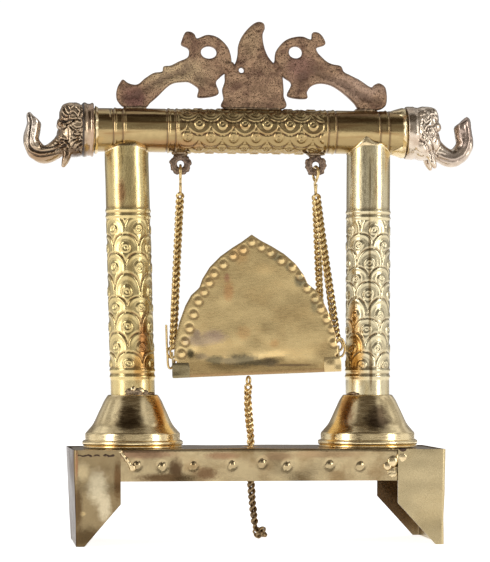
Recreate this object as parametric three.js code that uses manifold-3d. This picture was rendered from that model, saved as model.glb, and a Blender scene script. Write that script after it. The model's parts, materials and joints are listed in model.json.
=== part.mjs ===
// Brass temple swing (jhula): a sheet-brass table, two tube columns on bell-shaped feet, a tube
// crossbeam with elephant-head ends and a cast crest, and a seat that hangs from it on four chains.
// Millimetres, +Z up. The origin is on the ground under the middle of the crossbeam.
// The seat faces +Y, so its arched back stands on the -Y side.

import * as THREE from 'three';
import { mergeVertices } from 'three/addons/utils/BufferGeometryUtils.js';
import Module from 'manifold-3d';

const wasm = await Module();
wasm.setup();

// ---- driving dimensions ----
const GAP = 0.3; // clearance where two pieces meet
const SHEET = 0.9; // brass sheet thickness

const TABLE_WIDTH = 211;
const TABLE_SHIFT = 1.2; // the table sits this much to +X of the columns' middle
const TABLE_DEPTH = 74;
const TABLE_HEIGHT = 54;
const SKIRT_DROP = 17;
const LEG_WIDTH = 26.5; // width of a leg flap where it leaves the table
const LEG_TAPER = 1.5; // how far the end panels lean in from top to foot
const LEG_KNEE = 23.5; // height where the straight inner edge turns into the chamfer
const FOOT_WIDTH = 4;
const CHAIN_HOLE_RADIUS = 5;

const TUBE_RADIUS = 12.7;
const TUBE_WALL = 1;
const BEAD = 0.6; // height of a raised bead ring on a tube
const COLUMN_X = 69.2;
const COLUMN_TOP = 230; // tip of the coped lobes that hug the beam
const COLUMN_BEADS = [94.6, 98, 187, 191];
const FOOT_TOP = 84.5;

const BEAM_Z = 237.8;
const BEAM_HALF_LENGTH = 96;
const BEAM_BEADS = [44, 49, 74, 80];

const CREST_THICKNESS = 5;
const CREST_BASE = BEAM_Z + TUBE_RADIUS + GAP;

const LUG_X = 39.6;
const LUG_SHIFT = -1.6; // the pair of lugs sits this much off the beam's middle
const LUG_Z = 218.75;
const LUG_RADIUS = 6.3;
const LUG_HOLE_RADIUS = 2.4;
const LUG_THICKNESS = 2.2;

const PIVOT_Z = 213.2; // the swing turns about the centre of the upper hook loops
const HOOK_WIRE = 0.8; // radius of the hook wire
const HOOK_UPPER_RADIUS = 4.4;
const HOOK_LOWER_RADIUS = 4;

const SEAT_WIDTH = 96.4;
const SEAT_TAPER = 0.0013; // how much narrower, per millimetre towards the front
const SEAT_FRONT = 37;
const SEAT_REAR = -17.6;
const SEAT_FLOOR = 96;
const SEAT_WALL = 15;
const WALL_LEAN = 0.4; // how far a side wall leans out from floor to rim
const SEAT_SHIFT = 2; // the seat hangs this much to +X of the beam's middle
const SEAT_ROLL = -2.3; // degrees: the -X side hangs lower, its chains being a link longer
const TAB_WIDTH = 9.7;
const TAB_HEIGHT = 8.3;
const CORNER_INSET = 3.6; // of a corner hook from the end of its side wall
const CORNER_LOOP_RADIUS = 3.2;
const CORNER_WIRE = 0.7;
const CORNER_HOLE_RADIUS = 1.3;
const EYE_RADIUS = 2.2;
const EYE_X = -3.4; // of the pull chain's eye, from the seat's middle

const CHAIN_RADIUS = 2.2;
const CHAIN_SIDES = 8;
const PULL_CHAIN_RADIUS = 2.4;

// Route of the pull chain, from the eye under the seat, through the table, down to its knot.
const PULL_CHAIN_UPPER = [
  [-1.4, 0, 89.4],
  [-1.7, 0, 84],
  [-1.5, 0, 78],
  [-1, 0, 71.5],
  [-0.4, 0, 65],
  [0, 0, 59.5],
  [0, 0, 54.4],
];
const PULL_CHAIN_LOWER = [
  [0, 0, 54],
  [0, 0, 47.5],
  [0, 0, 41],
  [0.1, 0, 34.5],
  [0.5, 0, 28.5],
  [0.9, 0, 22.5],
  [1.6, 0, 16.5],
  [2.2, 0, 11],
  [2.5, 0, 8.2],
];
const KNOT_CENTRE = [5.2, 0, 4.2];
const KNOT_RADII = [4.2, 3, 3.3];

// ---- materials ----
const brass = (colour, roughness) =>
  new THREE.MeshStandardMaterial({ color: colour, roughness, metalness: 1 });
const polished = brass(0xc9a957, 0.16);
const sheetBrass = brass(0xbfa266, 0.28);
const castBronze = brass(0x9a6b3c, 0.5);
const wireBrass = brass(0xb5832f, 0.3);

const object = new THREE.Group();

// ---- helpers ----
function addMesh(name, geometry, material, parent = object) {
  const mesh = new THREE.Mesh(geometry, material);
  mesh.name = name;
  parent.add(mesh);
  return mesh;
}

function toSolid(geometry) {
  const bare = geometry.clone();
  bare.deleteAttribute('normal');
  bare.deleteAttribute('uv');
  const merged = mergeVertices(bare, 1e-4);
  const mesh = new wasm.Mesh({
    numProp: 3,
    vertProperties: new Float32Array(merged.attributes.position.array),
    triVerts: new Uint32Array(merged.index.array),
  });
  mesh.merge();
  return new wasm.Manifold(mesh);
}

function toGeometry(solid) {
  const mesh = solid.getMesh();
  const geometry = new THREE.BufferGeometry();
  geometry.setAttribute('position', new THREE.BufferAttribute(mesh.vertProperties, 3));
  geometry.setIndex(new THREE.BufferAttribute(mesh.triVerts, 1));
  geometry.computeVertexNormals();
  return geometry;
}

function joinAll(geometries) {
  return geometries.map(toSolid).reduce((whole, next) => whole.add(next));
}

function block(x0, x1, y0, y1, z0, z1) {
  const geometry = new THREE.BoxGeometry(x1 - x0, y1 - y0, z1 - z0);
  geometry.translate((x0 + x1) / 2, (y0 + y1) / 2, (z0 + z1) / 2);
  return geometry;
}

// An outline drawn in X and Z, given a thickness along Y from y0 to y1.
function uprightPlate(shape, y0, y1, curveSegments = 4) {
  const geometry = new THREE.ExtrudeGeometry(shape, {
    depth: y1 - y0,
    bevelEnabled: false,
    curveSegments,
  });
  geometry.rotateX(Math.PI / 2);
  geometry.translate(0, y1, 0);
  return geometry;
}

// A plate in the YZ plane, drawn as (y, z), with a thickness along X from x0 to x1.
function sidePlate(shape, x0, x1) {
  const geometry = new THREE.ExtrudeGeometry(shape, {
    depth: x1 - x0,
    bevelEnabled: false,
    curveSegments: 6,
  });
  geometry.rotateX(Math.PI / 2);
  geometry.rotateZ(Math.PI / 2);
  geometry.translate(x0, 0, 0);
  return geometry;
}

function polygon(points) {
  return new THREE.Shape(points.map(([x, y]) => new THREE.Vector2(x, y)));
}

function circlePath(x, y, radius) {
  const path = new THREE.Path();
  path.absarc(x, y, radius, 0, Math.PI * 2, true);
  return path;
}

// A closed ring of [radius, z] points turned about the Z axis: up the outside, down the inside.
function turned(profile, segments = 28) {
  const points = [...profile, profile[0]].map(([r, z]) => new THREE.Vector2(r, z));
  const geometry = new THREE.LatheGeometry(points, segments);
  geometry.rotateX(Math.PI / 2);
  return geometry;
}

function circleSection(radius, sides) {
  const points = [];
  for (let i = 0; i < sides; i += 1) {
    const angle = ((i + 0.5) / sides) * Math.PI * 2;
    points.push(new THREE.Vector2(Math.cos(angle) * radius, Math.sin(angle) * radius));
  }
  return new THREE.Shape(points);
}

function sweep(curve, radius, steps, sides) {
  return new THREE.ExtrudeGeometry(circleSection(radius, sides), {
    steps,
    extrudePath: curve,
    bevelEnabled: false,
  });
}

function routeCurve(points) {
  return new THREE.CatmullRomCurve3(points.map((p) => new THREE.Vector3(...p)));
}

// A swept tube whose radius changes from end to end.
function taperedSweep(points, startRadius, endRadius, steps, sides) {
  const curve = routeCurve(points);
  const geometry = sweep(curve, startRadius, steps, sides);
  const centres = curve.getSpacedPoints(steps);
  const position = geometry.attributes.position;
  const vertex = new THREE.Vector3();
  for (let i = 0; i < position.count; i += 1) {
    vertex.fromBufferAttribute(position, i);
    let ring = 0;
    for (let k = 1; k <= steps; k += 1) {
      if (vertex.distanceToSquared(centres[k]) < vertex.distanceToSquared(centres[ring])) ring = k;
    }
    const radius = startRadius + ((endRadius - startRadius) * ring) / steps;
    vertex.sub(centres[ring]).multiplyScalar(radius / startRadius).add(centres[ring]);
    position.setXYZ(i, vertex.x, vertex.y, vertex.z);
  }
  return geometry;
}

function ellipsoid(centre, radii, widthSegments = 12, heightSegments = 8) {
  const geometry = new THREE.SphereGeometry(1, widthSegments, heightSegments);
  geometry.scale(...radii);
  geometry.translate(...centre);
  return geometry;
}

// ---- table ----
function tableTop() {
  const halfWidth = TABLE_WIDTH / 2 - SHEET - GAP;
  const halfDepth = TABLE_DEPTH / 2 - SHEET - GAP;
  const outline = polygon([
    [-halfWidth, -halfDepth],
    [halfWidth, -halfDepth],
    [halfWidth, halfDepth],
    [-halfWidth, halfDepth],
  ]);
  outline.holes.push(circlePath(-TABLE_SHIFT, 0, CHAIN_HOLE_RADIUS));
  const top = new THREE.ExtrudeGeometry(outline, {
    depth: SHEET,
    bevelEnabled: false,
    curveSegments: 12,
  });
  top.translate(0, 0, TABLE_HEIGHT - SHEET);
  const skirtHalf = halfWidth - LEG_TAPER / 2;
  const low = TABLE_HEIGHT - SKIRT_DROP;
  const overlap = TABLE_HEIGHT - SHEET / 2;
  return toGeometry(
    joinAll([
      top,
      block(-skirtHalf, skirtHalf, -halfDepth, -halfDepth + SHEET, low, overlap),
      block(-skirtHalf, skirtHalf, halfDepth - SHEET, halfDepth, low, overlap),
    ]),
  );
}

// One end of the table: a side plate with a leg flap folded round onto the front and the rear.
function endPanel() {
  const outer = TABLE_WIDTH / 2;
  const side = polygon([
    [outer - SHEET, TABLE_HEIGHT],
    [outer - LEG_TAPER - SHEET, 0],
    [outer - LEG_TAPER, 0],
    [outer, TABLE_HEIGHT],
  ]);
  const flap = polygon([
    [outer - LEG_WIDTH, TABLE_HEIGHT],
    [outer - LEG_WIDTH, LEG_KNEE],
    [outer - LEG_TAPER - FOOT_WIDTH, 0],
    [outer - LEG_TAPER, 0],
    [outer, TABLE_HEIGHT],
  ]);
  const edge = TABLE_DEPTH / 2;
  return toGeometry(
    joinAll([
      uprightPlate(side, -edge, edge),
      uprightPlate(flap, -edge, -edge + SHEET),
      uprightPlate(flap, edge - SHEET, edge),
    ]),
  );
}

// ---- columns and their feet ----
// The turned bell-shaped foot: neck, flare, upright band, rolled rim and base disc.
function bellFoot() {
  const neck = TUBE_RADIUS + GAP;
  const base = TABLE_HEIGHT + GAP;
  return turned([
    [26, base],
    [28, base],
    [28, 55.5],
    [28.6, 55.9],
    [29, 57],
    [28.6, 58.2],
    [27.3, 58.6],
    [27.1, 62.6],
    [25.6, 64.3],
    [22.6, 68],
    [19.2, 75.4],
    [15.4, 83.6],
    [14.6, FOOT_TOP],
    [neck, FOOT_TOP],
    [neck, 81.5],
    [17.4, 75.4],
    [21, 68],
    [26, 61],
  ]);
}

function beadedOutside(low, high, beads) {
  const half = 1.1;
  const points = [[TUBE_RADIUS, low]];
  for (const z of beads) {
    points.push([TUBE_RADIUS, z - half]);
    points.push([TUBE_RADIUS + BEAD, z]);
    points.push([TUBE_RADIUS, z + half]);
  }
  points.push([TUBE_RADIUS, high]);
  return points;
}

function tube(low, high, beads) {
  const bore = TUBE_RADIUS - TUBE_WALL;
  return turned([...beadedOutside(low, high, beads), [bore, high], [bore, low]]);
}

// A cylinder along the beam's axis, from x0 to x1.
function beamCutter(radius, x0, x1) {
  const geometry = new THREE.CylinderGeometry(radius, radius, x1 - x0, 32);
  geometry.rotateZ(Math.PI / 2);
  geometry.translate((x0 + x1) / 2, 0, BEAM_Z);
  return toSolid(geometry);
}

// The column's top is coped to the beam, with relief for the beam's two outer bead rings.
function column() {
  const body = toSolid(tube(TABLE_HEIGHT + GAP, COLUMN_TOP, COLUMN_BEADS));
  const beads = BEAM_BEADS.slice(2).map((x) => x - COLUMN_X);
  const cope = beamCutter(TUBE_RADIUS + GAP, -40, 40);
  const relief = beamCutter(TUBE_RADIUS + BEAD + GAP, beads[0] - 1.5, beads[1] + 1.5);
  return toGeometry(body.subtract(cope).subtract(relief));
}

// ---- crossbeam and its ends ----
function crossbeam() {
  const beads = [...BEAM_BEADS.map((x) => -x).reverse(), ...BEAM_BEADS];
  const geometry = tube(-BEAM_HALF_LENGTH, BEAM_HALF_LENGTH, beads);
  geometry.rotateY(Math.PI / 2);
  geometry.translate(0, 0, BEAM_Z);
  return geometry;
}

// A cast elephant head that looks towards +X, with a collar that slips over the beam's end.
function elephantHead() {
  const socketDepth = BEAM_HALF_LENGTH + GAP;
  const collar = turned([
    [14.6, 89],
    [15.5, 90],
    [15.5, 96.5],
    [12, 99],
    [0, 99],
    [0, socketDepth],
    [TUBE_RADIUS + GAP, socketDepth],
    [TUBE_RADIUS + GAP, 89],
  ]);
  collar.rotateY(Math.PI / 2);
  collar.translate(0, 0, BEAM_Z);
  const trunk = taperedSweep(
    [
      [104, 0, 238],
      [107, 0, 231.5],
      [112, 0, 226.6],
      [119, 0, 224.4],
      [124.8, 0, 227.2],
      [127.2, 0, 233.2],
      [127.2, 0, 240],
      [127.8, 0, 247.4],
    ],
    5.7,
    4.6,
    12,
    8,
  );
  const head = joinAll([
    collar,
    ellipsoid([102.3, 0, 239.6], [9.6, 13, 14.2], 14, 10),
    ellipsoid([104, 0, 229.5], [7.5, 8.5, 7.5]),
    ellipsoid([99.5, 12.2, 237], [8, 3.2, 13]),
    ellipsoid([99.5, -12.2, 237], [8, 3.2, 13]),
    trunk,
    tusk(6),
    tusk(-6),
  ]);
  return toGeometry(head.subtract(beamCutter(TUBE_RADIUS + GAP, 80, socketDepth)));
}

function tusk(y) {
  return taperedSweep([[105.5, y, 229], [106.6, y * 1.1, 222.5], [108.2, y * 1.05, 216.6]], 2.2, 0.7, 4, 6);
}

// ---- crest ----
function crestPlaque() {
  const shape = new THREE.Shape();
  shape.moveTo(-15.2, CREST_BASE);
  shape.lineTo(18, CREST_BASE);
  shape.splineThru(
    [[19, 258], [18.2, 269.5], [16.6, 275.5], [12.5, 278.7], [8.2, 283.7], [6.2, 293.5], [7.4, 301]].map(
      ([x, z]) => new THREE.Vector2(x, z),
    ),
  );
  shape.lineTo(4.4, 302.5);
  shape.lineTo(0.4, 301.4);
  shape.splineThru(
    [[-7, 292.7], [-8.2, 287], [-10.2, 279.5], [-15.2, 272.5], [-17.5, 262.5]].map(
      ([x, z]) => new THREE.Vector2(x, z),
    ),
  );
  shape.closePath();
  shape.holes.push(circlePath(-6.2, 273.5, 1.55));
  return uprightPlate(shape, -CREST_THICKNESS / 2, CREST_THICKNESS / 2, 3);
}

// The bracket on the +X side: tail standing on the beam, arch, foot against the plaque, ring head.
function peacockBracket() {
  const shape = new THREE.Shape();
  const through = (points) =>
    shape.splineThru(points.map(([x, z]) => new THREE.Vector2(x, z)));
  shape.moveTo(62, CREST_BASE);
  shape.lineTo(72, CREST_BASE);
  through([[78.6, 253.7], [79.4, 260], [75.7, 267.2]]);
  through([[72.5, 264.6], [67.3, 265.3], [58.6, 270.5], [51.9, 273]]);
  through([[50.4, 275.8], [43.4, 278.8], [37.6, 281.2], [37.2, 284.2]]);
  through([[42, 288.2], [40.4, 293], [37, 295.6], [33.5, 293.2], [32.1, 291.6]]);
  through([[24.9, 293.7], [19, 291.9], [14.7, 288], [12.3, 284.1], [10.4, 275.8]]);
  through([[15.7, 272.1], [22.2, 265.7], [19.5, 259]]);
  shape.lineTo(31.1, 257.3);
  through([[31.1, 262.3], [34.5, 264.8], [38.8, 266.2], [43.2, 265.7], [48, 263.3], [54.8, 258.1]]);
  shape.closePath();
  const eye = new THREE.Path();
  eye.absellipse(25.5, 283.4, 4.6, 3.6, 0, Math.PI * 2, true);
  shape.holes.push(eye);
  return uprightPlate(shape, -CREST_THICKNESS / 2, CREST_THICKNESS / 2, 3);
}

// A bracket trimmed so that it clears the plaque, whose outline isn't quite symmetrical.
function trimmedBracket(side) {
  const bracket = peacockBracket();
  if (side < 0) bracket.rotateZ(Math.PI);
  const plaque = crestPlaque();
  const nearPlaque = plaque.clone();
  nearPlaque.scale(1, 1.2, 1);
  nearPlaque.translate(side * GAP * 1.5, 0, 0);
  return toGeometry(toSolid(bracket).subtract(toSolid(nearPlaque)));
}

// ---- hanging fittings ----
// A washer-like cast lug under the beam, with a slightly knobbly rim.
function lug() {
  const knobs = 9;
  const points = [];
  for (let i = 0; i < 36; i += 1) {
    const angle = (i / 36) * Math.PI * 2;
    const radius = LUG_RADIUS + 0.3 * Math.cos(angle * knobs);
    const top = BEAM_Z - TUBE_RADIUS - GAP;
    points.push([radius * Math.cos(angle), Math.min(LUG_Z + radius * Math.sin(angle), top)]);
  }
  const shape = polygon(points);
  shape.holes.push(circlePath(0, LUG_Z, LUG_HOLE_RADIUS));
  return uprightPlate(shape, -LUG_THICKNESS / 2, LUG_THICKNESS / 2, 10);
}

// An S-hook in the YZ plane: its upper loop passes through the lug, its lower loop holds the chains.
function topHook() {
  const lowerCentre = PIVOT_Z - HOOK_UPPER_RADIUS - HOOK_LOWER_RADIUS;
  const points = [];
  for (let degrees = -50; degrees < 270; degrees += 20) {
    const angle = THREE.MathUtils.degToRad(degrees);
    points.push([0, HOOK_UPPER_RADIUS * Math.cos(angle), PIVOT_Z + HOOK_UPPER_RADIUS * Math.sin(angle)]);
  }
  for (let degrees = 90; degrees >= -210; degrees -= 20) {
    const angle = THREE.MathUtils.degToRad(degrees);
    points.push([0, HOOK_LOWER_RADIUS * Math.cos(angle), lowerCentre + HOOK_LOWER_RADIUS * Math.sin(angle)]);
  }
  return sweep(routeCurve(points), HOOK_WIRE, 36, 6);
}

// ---- seat, drawn with its floor at z = 0 and its middle at x = 0, then rolled and lifted ----
function seatBackHalf() {
  return [
    [46.9, 0.2],
    [46.9, TAB_HEIGHT + 2 * GAP],
    [48.2, TAB_HEIGHT + 2 * GAP],
    [48, 14],
    [46.4, 20.5],
    [43, 30.5],
    [38.8, 40],
    [35, 46],
    [30, 50],
    [28.3, 55],
    [23.8, 61.6],
    [17.5, 67.5],
    [10.6, 72.2],
    [5, 75.6],
  ];
}

function seatBack() {
  const right = seatBackHalf();
  const left = right.map(([x, z]) => [-x, z]).reverse();
  const outline = polygon([...right, [0, 79.5], ...left].map(([x, z]) => [x, z + SHEET + GAP]));
  return uprightPlate(outline, SEAT_REAR, SEAT_REAR + SHEET);
}

// Half the seat's width, as a fraction of its width at the back, at a distance y along it.
function seatNarrowing(y) {
  return 1 - SEAT_TAPER * (y - SEAT_REAR);
}

// Floor and two side walls; each wall's lower rear corner is folded round the back as a tab.
function seatTray() {
  const half = SEAT_WIDTH / 2;
  const wallRear = SEAT_REAR + SHEET + GAP;
  const tabFace = SEAT_REAR - GAP;
  const wallShape = polygon([
    [wallRear, 0],
    [SEAT_FRONT, 0],
    [SEAT_FRONT, SEAT_WALL],
    [wallRear, SEAT_WALL],
  ]);
  for (const y of cornerHookPlaces()) {
    wallShape.holes.push(circlePath(y, SEAT_WALL - CORNER_LOOP_RADIUS, CORNER_HOLE_RADIUS));
  }
  const pieces = [block(-half, half, tabFace - SHEET, SEAT_FRONT, 0, SHEET)];
  for (const side of [-1, 1]) {
    const wallX = side > 0 ? half - SHEET : -half;
    const inner = side * (half - TAB_WIDTH);
    const low = Math.min(inner, side * half);
    const tilt = WALL_LEAN / SEAT_WALL;
    const outwards = new THREE.Matrix4().makeShear(0, 0, 0, 0, side * tilt, 0);
    const outwardsAndBack = new THREE.Matrix4().makeShear(0, 0, 0, 0, side * tilt, -tilt);
    const fold = block(wallX, wallX + SHEET, tabFace - SHEET, wallRear + 1, 0, TAB_HEIGHT);
    const tab = block(low, low + TAB_WIDTH, tabFace - SHEET, tabFace, 0, TAB_HEIGHT);
    pieces.push(sidePlate(wallShape, wallX, wallX + SHEET).applyMatrix4(outwards));
    pieces.push(fold.applyMatrix4(outwardsAndBack));
    pieces.push(tab.applyMatrix4(outwardsAndBack));
  }
  const tray = joinAll(pieces).warp((vertex) => {
    vertex[0] *= seatNarrowing(vertex[1]);
  });
  return toGeometry(tray);
}

function cornerHookPlaces() {
  return [SEAT_REAR + SHEET + GAP + CORNER_INSET, SEAT_FRONT - CORNER_INSET];
}

function cornerHook() {
  const geometry = new THREE.TorusGeometry(CORNER_LOOP_RADIUS, CORNER_WIRE, 6, 16);
  geometry.rotateX(Math.PI / 2);
  return geometry;
}

function pullChainEye() {
  const geometry = new THREE.TorusGeometry(EYE_RADIUS, CORNER_WIRE, 6, 14);
  geometry.rotateX(Math.PI / 2);
  return geometry;
}

// ---- chains ----
function knot() {
  const geometry = new THREE.SphereGeometry(1, 12, 9);
  const position = geometry.attributes.position;
  const vertex = new THREE.Vector3();
  for (let i = 0; i < position.count; i += 1) {
    vertex.fromBufferAttribute(position, i);
    const swirl = Math.cos(3 * Math.atan2(vertex.y, vertex.x)) * (1 - vertex.z ** 2);
    vertex.multiplyScalar(1 + 0.09 * swirl);
    position.setXYZ(i, vertex.x, vertex.y, vertex.z);
  }
  geometry.scale(...KNOT_RADII);
  geometry.translate(...KNOT_CENTRE);
  return geometry;
}

// ---- assembly ----
addMesh('table_top', tableTop(), sheetBrass).position.x = TABLE_SHIFT;

for (const [name, side] of [['left', -1], ['right', 1]]) {
  const panel = addMesh(`${name}_end_panel`, endPanel(), sheetBrass);
  panel.rotation.z = side > 0 ? 0 : Math.PI;
  panel.position.x = TABLE_SHIFT;

  const foot = addMesh(`${name}_bell_foot`, bellFoot(), polished);
  foot.position.x = side * COLUMN_X;

  const post = addMesh(`${name}_column`, column(), polished);
  post.position.x = side * COLUMN_X;
  post.rotation.z = side > 0 ? 0 : Math.PI;

  const head = addMesh(`${name}_elephant_head`, elephantHead(), castBronze);
  head.rotation.z = side > 0 ? 0 : Math.PI;

  addMesh(`${name}_peacock_bracket`, trimmedBracket(side), castBronze);

  const ring = addMesh(`${name}_lug`, lug(), castBronze);
  ring.position.x = side * LUG_X + LUG_SHIFT;

  const hook = addMesh(`${name}_top_hook`, topHook(), wireBrass);
  hook.position.x = side * LUG_X + LUG_SHIFT;
}

addMesh('crossbeam', crossbeam(), polished);
addMesh('crest_plaque', crestPlaque(), castBronze);

const seat = new THREE.Group();
seat.rotation.y = THREE.MathUtils.degToRad(SEAT_ROLL);
seat.position.set(SEAT_SHIFT, 0, SEAT_FLOOR);
object.add(seat);
addMesh('seat_tray', seatTray(), sheetBrass, seat);
addMesh('seat_back', seatBack(), sheetBrass, seat);
const eye = addMesh('pull_chain_eye', pullChainEye(), wireBrass, seat);
eye.position.set(EYE_X, 0, -GAP - EYE_RADIUS - CORNER_WIRE);

const [rearY, frontY] = cornerHookPlaces();
seat.updateMatrixWorld(true);
for (const [sideName, side] of [['left', -1], ['right', 1]]) {
  for (const [endName, y, lean] of [['rear', rearY, -1], ['front', frontY, 1]]) {
    const wallMiddle = ((SEAT_WIDTH - SHEET) / 2) * seatNarrowing(y);
    const corner = new THREE.Vector3(side * wallMiddle, y, SEAT_WALL);
    const loop = addMesh(`${sideName}_${endName}_seat_hook`, cornerHook(), wireBrass, seat);
    loop.position.copy(corner);

    const end = corner.clone().applyMatrix4(seat.matrixWorld);
    end.z += CORNER_LOOP_RADIUS + CORNER_WIRE + GAP;
    const start = new THREE.Vector3(side * LUG_X + LUG_SHIFT, lean * 2.7, 199.4);
    const third = start.clone().lerp(end, 0.33);
    const chain = sweep(
      new THREE.CatmullRomCurve3([start, third, end]),
      CHAIN_RADIUS,
      8,
      CHAIN_SIDES,
    );
    addMesh(`${sideName}_${endName}_chain`, chain, wireBrass);
  }
}

addMesh('pull_chain_upper', sweep(routeCurve(PULL_CHAIN_UPPER), PULL_CHAIN_RADIUS, 8, 8), wireBrass);
addMesh('pull_chain_lower', sweep(routeCurve(PULL_CHAIN_LOWER), PULL_CHAIN_RADIUS, 10, 8), wireBrass);
addMesh('pull_chain_knot', knot(), wireBrass);

export default object;
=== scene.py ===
"""Brass temple swing: the fine visual model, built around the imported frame.

Lengths inside this script are millimetres, in the row frame; mesh() turns them into metres.
"""

import json
from itertools import product

import bpy
import numpy as np
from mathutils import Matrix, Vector
from mathutils.geometry import delaunay_2d_cdt


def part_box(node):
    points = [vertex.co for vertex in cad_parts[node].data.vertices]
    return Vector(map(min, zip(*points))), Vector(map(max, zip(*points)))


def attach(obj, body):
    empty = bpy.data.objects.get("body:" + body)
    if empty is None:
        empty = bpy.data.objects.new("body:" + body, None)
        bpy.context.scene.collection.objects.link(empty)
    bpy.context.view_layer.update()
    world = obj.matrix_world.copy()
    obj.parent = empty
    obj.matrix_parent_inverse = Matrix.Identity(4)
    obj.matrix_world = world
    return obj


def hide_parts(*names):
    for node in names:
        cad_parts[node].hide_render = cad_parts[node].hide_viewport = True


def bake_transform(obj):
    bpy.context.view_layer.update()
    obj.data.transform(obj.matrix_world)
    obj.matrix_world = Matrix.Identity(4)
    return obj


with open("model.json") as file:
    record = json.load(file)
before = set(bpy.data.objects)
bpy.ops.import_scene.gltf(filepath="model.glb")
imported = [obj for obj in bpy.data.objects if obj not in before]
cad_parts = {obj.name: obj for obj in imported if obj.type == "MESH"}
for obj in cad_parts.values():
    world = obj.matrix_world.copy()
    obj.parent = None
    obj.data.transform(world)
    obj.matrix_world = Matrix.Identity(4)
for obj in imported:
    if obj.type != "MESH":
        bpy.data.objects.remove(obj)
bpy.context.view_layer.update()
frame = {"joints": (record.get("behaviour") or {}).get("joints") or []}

MM = 0.001
TAU = 2 * np.pi


# ---------------------------------------------------------------- the frame's places
def low(node):
    return np.array(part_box(node)[0]) / MM


def high(node):
    return np.array(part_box(node)[1]) / MM


def middle(node):
    return (low(node) + high(node)) / 2


SHEET = 0.9
TUBE_RADIUS = 12.7
TUBE_WALL = 1.0
TABLE_TOP = high("table_top")[2]
TABLE_HALF_DEPTH = high("right_end_panel")[1]
SKIRT_LOW = low("table_top")[2]
FOOT_TOP = high("right_bell_foot")[2]
COLUMN_X = middle("right_bell_foot")[0]
COLUMN_TOP = high("right_column")[2]
BEAM_Z = middle("crossbeam")[2]
BEAM_HALF = high("crossbeam")[0]
LUG_X = {hand: middle(f"{hand}_lug")[0] for hand in ("left", "right")}
SWING = next(j for j in frame["joints"] if j["name"] == "swing")
PIVOT_Z = SWING["pos_m"][2] / MM
SIDES = ((-1, "left"), (1, "right"))
SEAT_ROLL = np.radians(-2.3)
SEAT_FLOOR = 96.0
SEAT_HALF = 48.2
SEAT_TAPER = 0.0013
SEAT_REAR = -17.6
SEAT_FRONT = 37.0
SEAT_WALL = 15.0


# ---------------------------------------------------------------- camera, lights, floor
def look_at(position, target):
    direction = Vector(target) - Vector(position)
    return direction.to_track_quat("-Z", "Y")


CAMERA_AT = Vector((-0.133, -1.3, 0.0963))
CAMERA_TARGET = Vector((-0.0033, 0.0, 0.1505))
CAMERA_LENS = 144.0


def add_camera():
    data = bpy.data.cameras.new("camera")
    data.lens = CAMERA_LENS
    data.clip_start = 0.01
    data.clip_end = 50
    camera = bpy.data.objects.new("camera", data)
    camera.location = CAMERA_AT
    camera.rotation_mode = "QUATERNION"
    camera.rotation_quaternion = look_at(CAMERA_AT, CAMERA_TARGET)
    bpy.context.collection.objects.link(camera)
    bpy.context.scene.camera = camera


def add_softbox(name, position, target, width, height, power):
    data = bpy.data.lights.new(name, "AREA")
    data.shape = "RECTANGLE"
    data.size = width
    data.size_y = height
    data.energy = power
    light = bpy.data.objects.new(name, data)
    light.location = position
    light.rotation_mode = "QUATERNION"
    light.rotation_quaternion = look_at(position, target)
    bpy.context.collection.objects.link(light)


class Nodes:
    """A small helper that adds shader nodes and joins them."""

    def __init__(self, tree):
        self.tree = tree
        tree.nodes.clear()

    def add(self, kind, inputs=None, **settings):
        node = self.tree.nodes.new(kind)
        for key, value in settings.items():
            setattr(node, key, value)
        for key, value in (inputs or {}).items():
            self.set(node.inputs[key], value)
        return node

    def set(self, socket, value):
        if isinstance(value, bpy.types.NodeSocket):
            self.tree.links.new(value, socket)
        else:
            socket.default_value = value

    def math(self, operation, a, b=0.0, clamp=False):
        return self.add("ShaderNodeMath", {0: a, 1: b}, operation=operation, use_clamp=clamp).outputs[0]

    def ramp(self, value, start, end, to_start=0.0, to_end=1.0):
        inputs = {"Value": value, "From Min": start, "From Max": end, "To Min": to_start,
            "To Max": to_end}
        return self.add("ShaderNodeMapRange", inputs, interpolation_type="SMOOTHSTEP").outputs["Result"]

    def mix(self, factor, a, b):
        inputs = {"Factor": factor, "A": a, "B": b}
        node = self.add("ShaderNodeMix", data_type="RGBA")
        for key, value in inputs.items():
            self.set(node.inputs[key], value)
        return node.outputs["Result"]

    def finish(self, output, shader, inputs):
        self.set(self.add(output).inputs["Surface"], self.add(shader, inputs).outputs[0])


WALL_DIM = (0.36, 0.35, 0.34, 1)
WALL_BRIGHT = (0.88, 0.89, 0.91, 1)
WALL_BEHIND = (0.355, 0.34, 0.32, 1)
GROUND = (0.5, 0.48, 0.45, 1)
DARK_SCREEN = (0.085, 0.07, 0.055, 1)
WHITE_PAPER = (1.05, 1.05, 1.05, 1)


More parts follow.
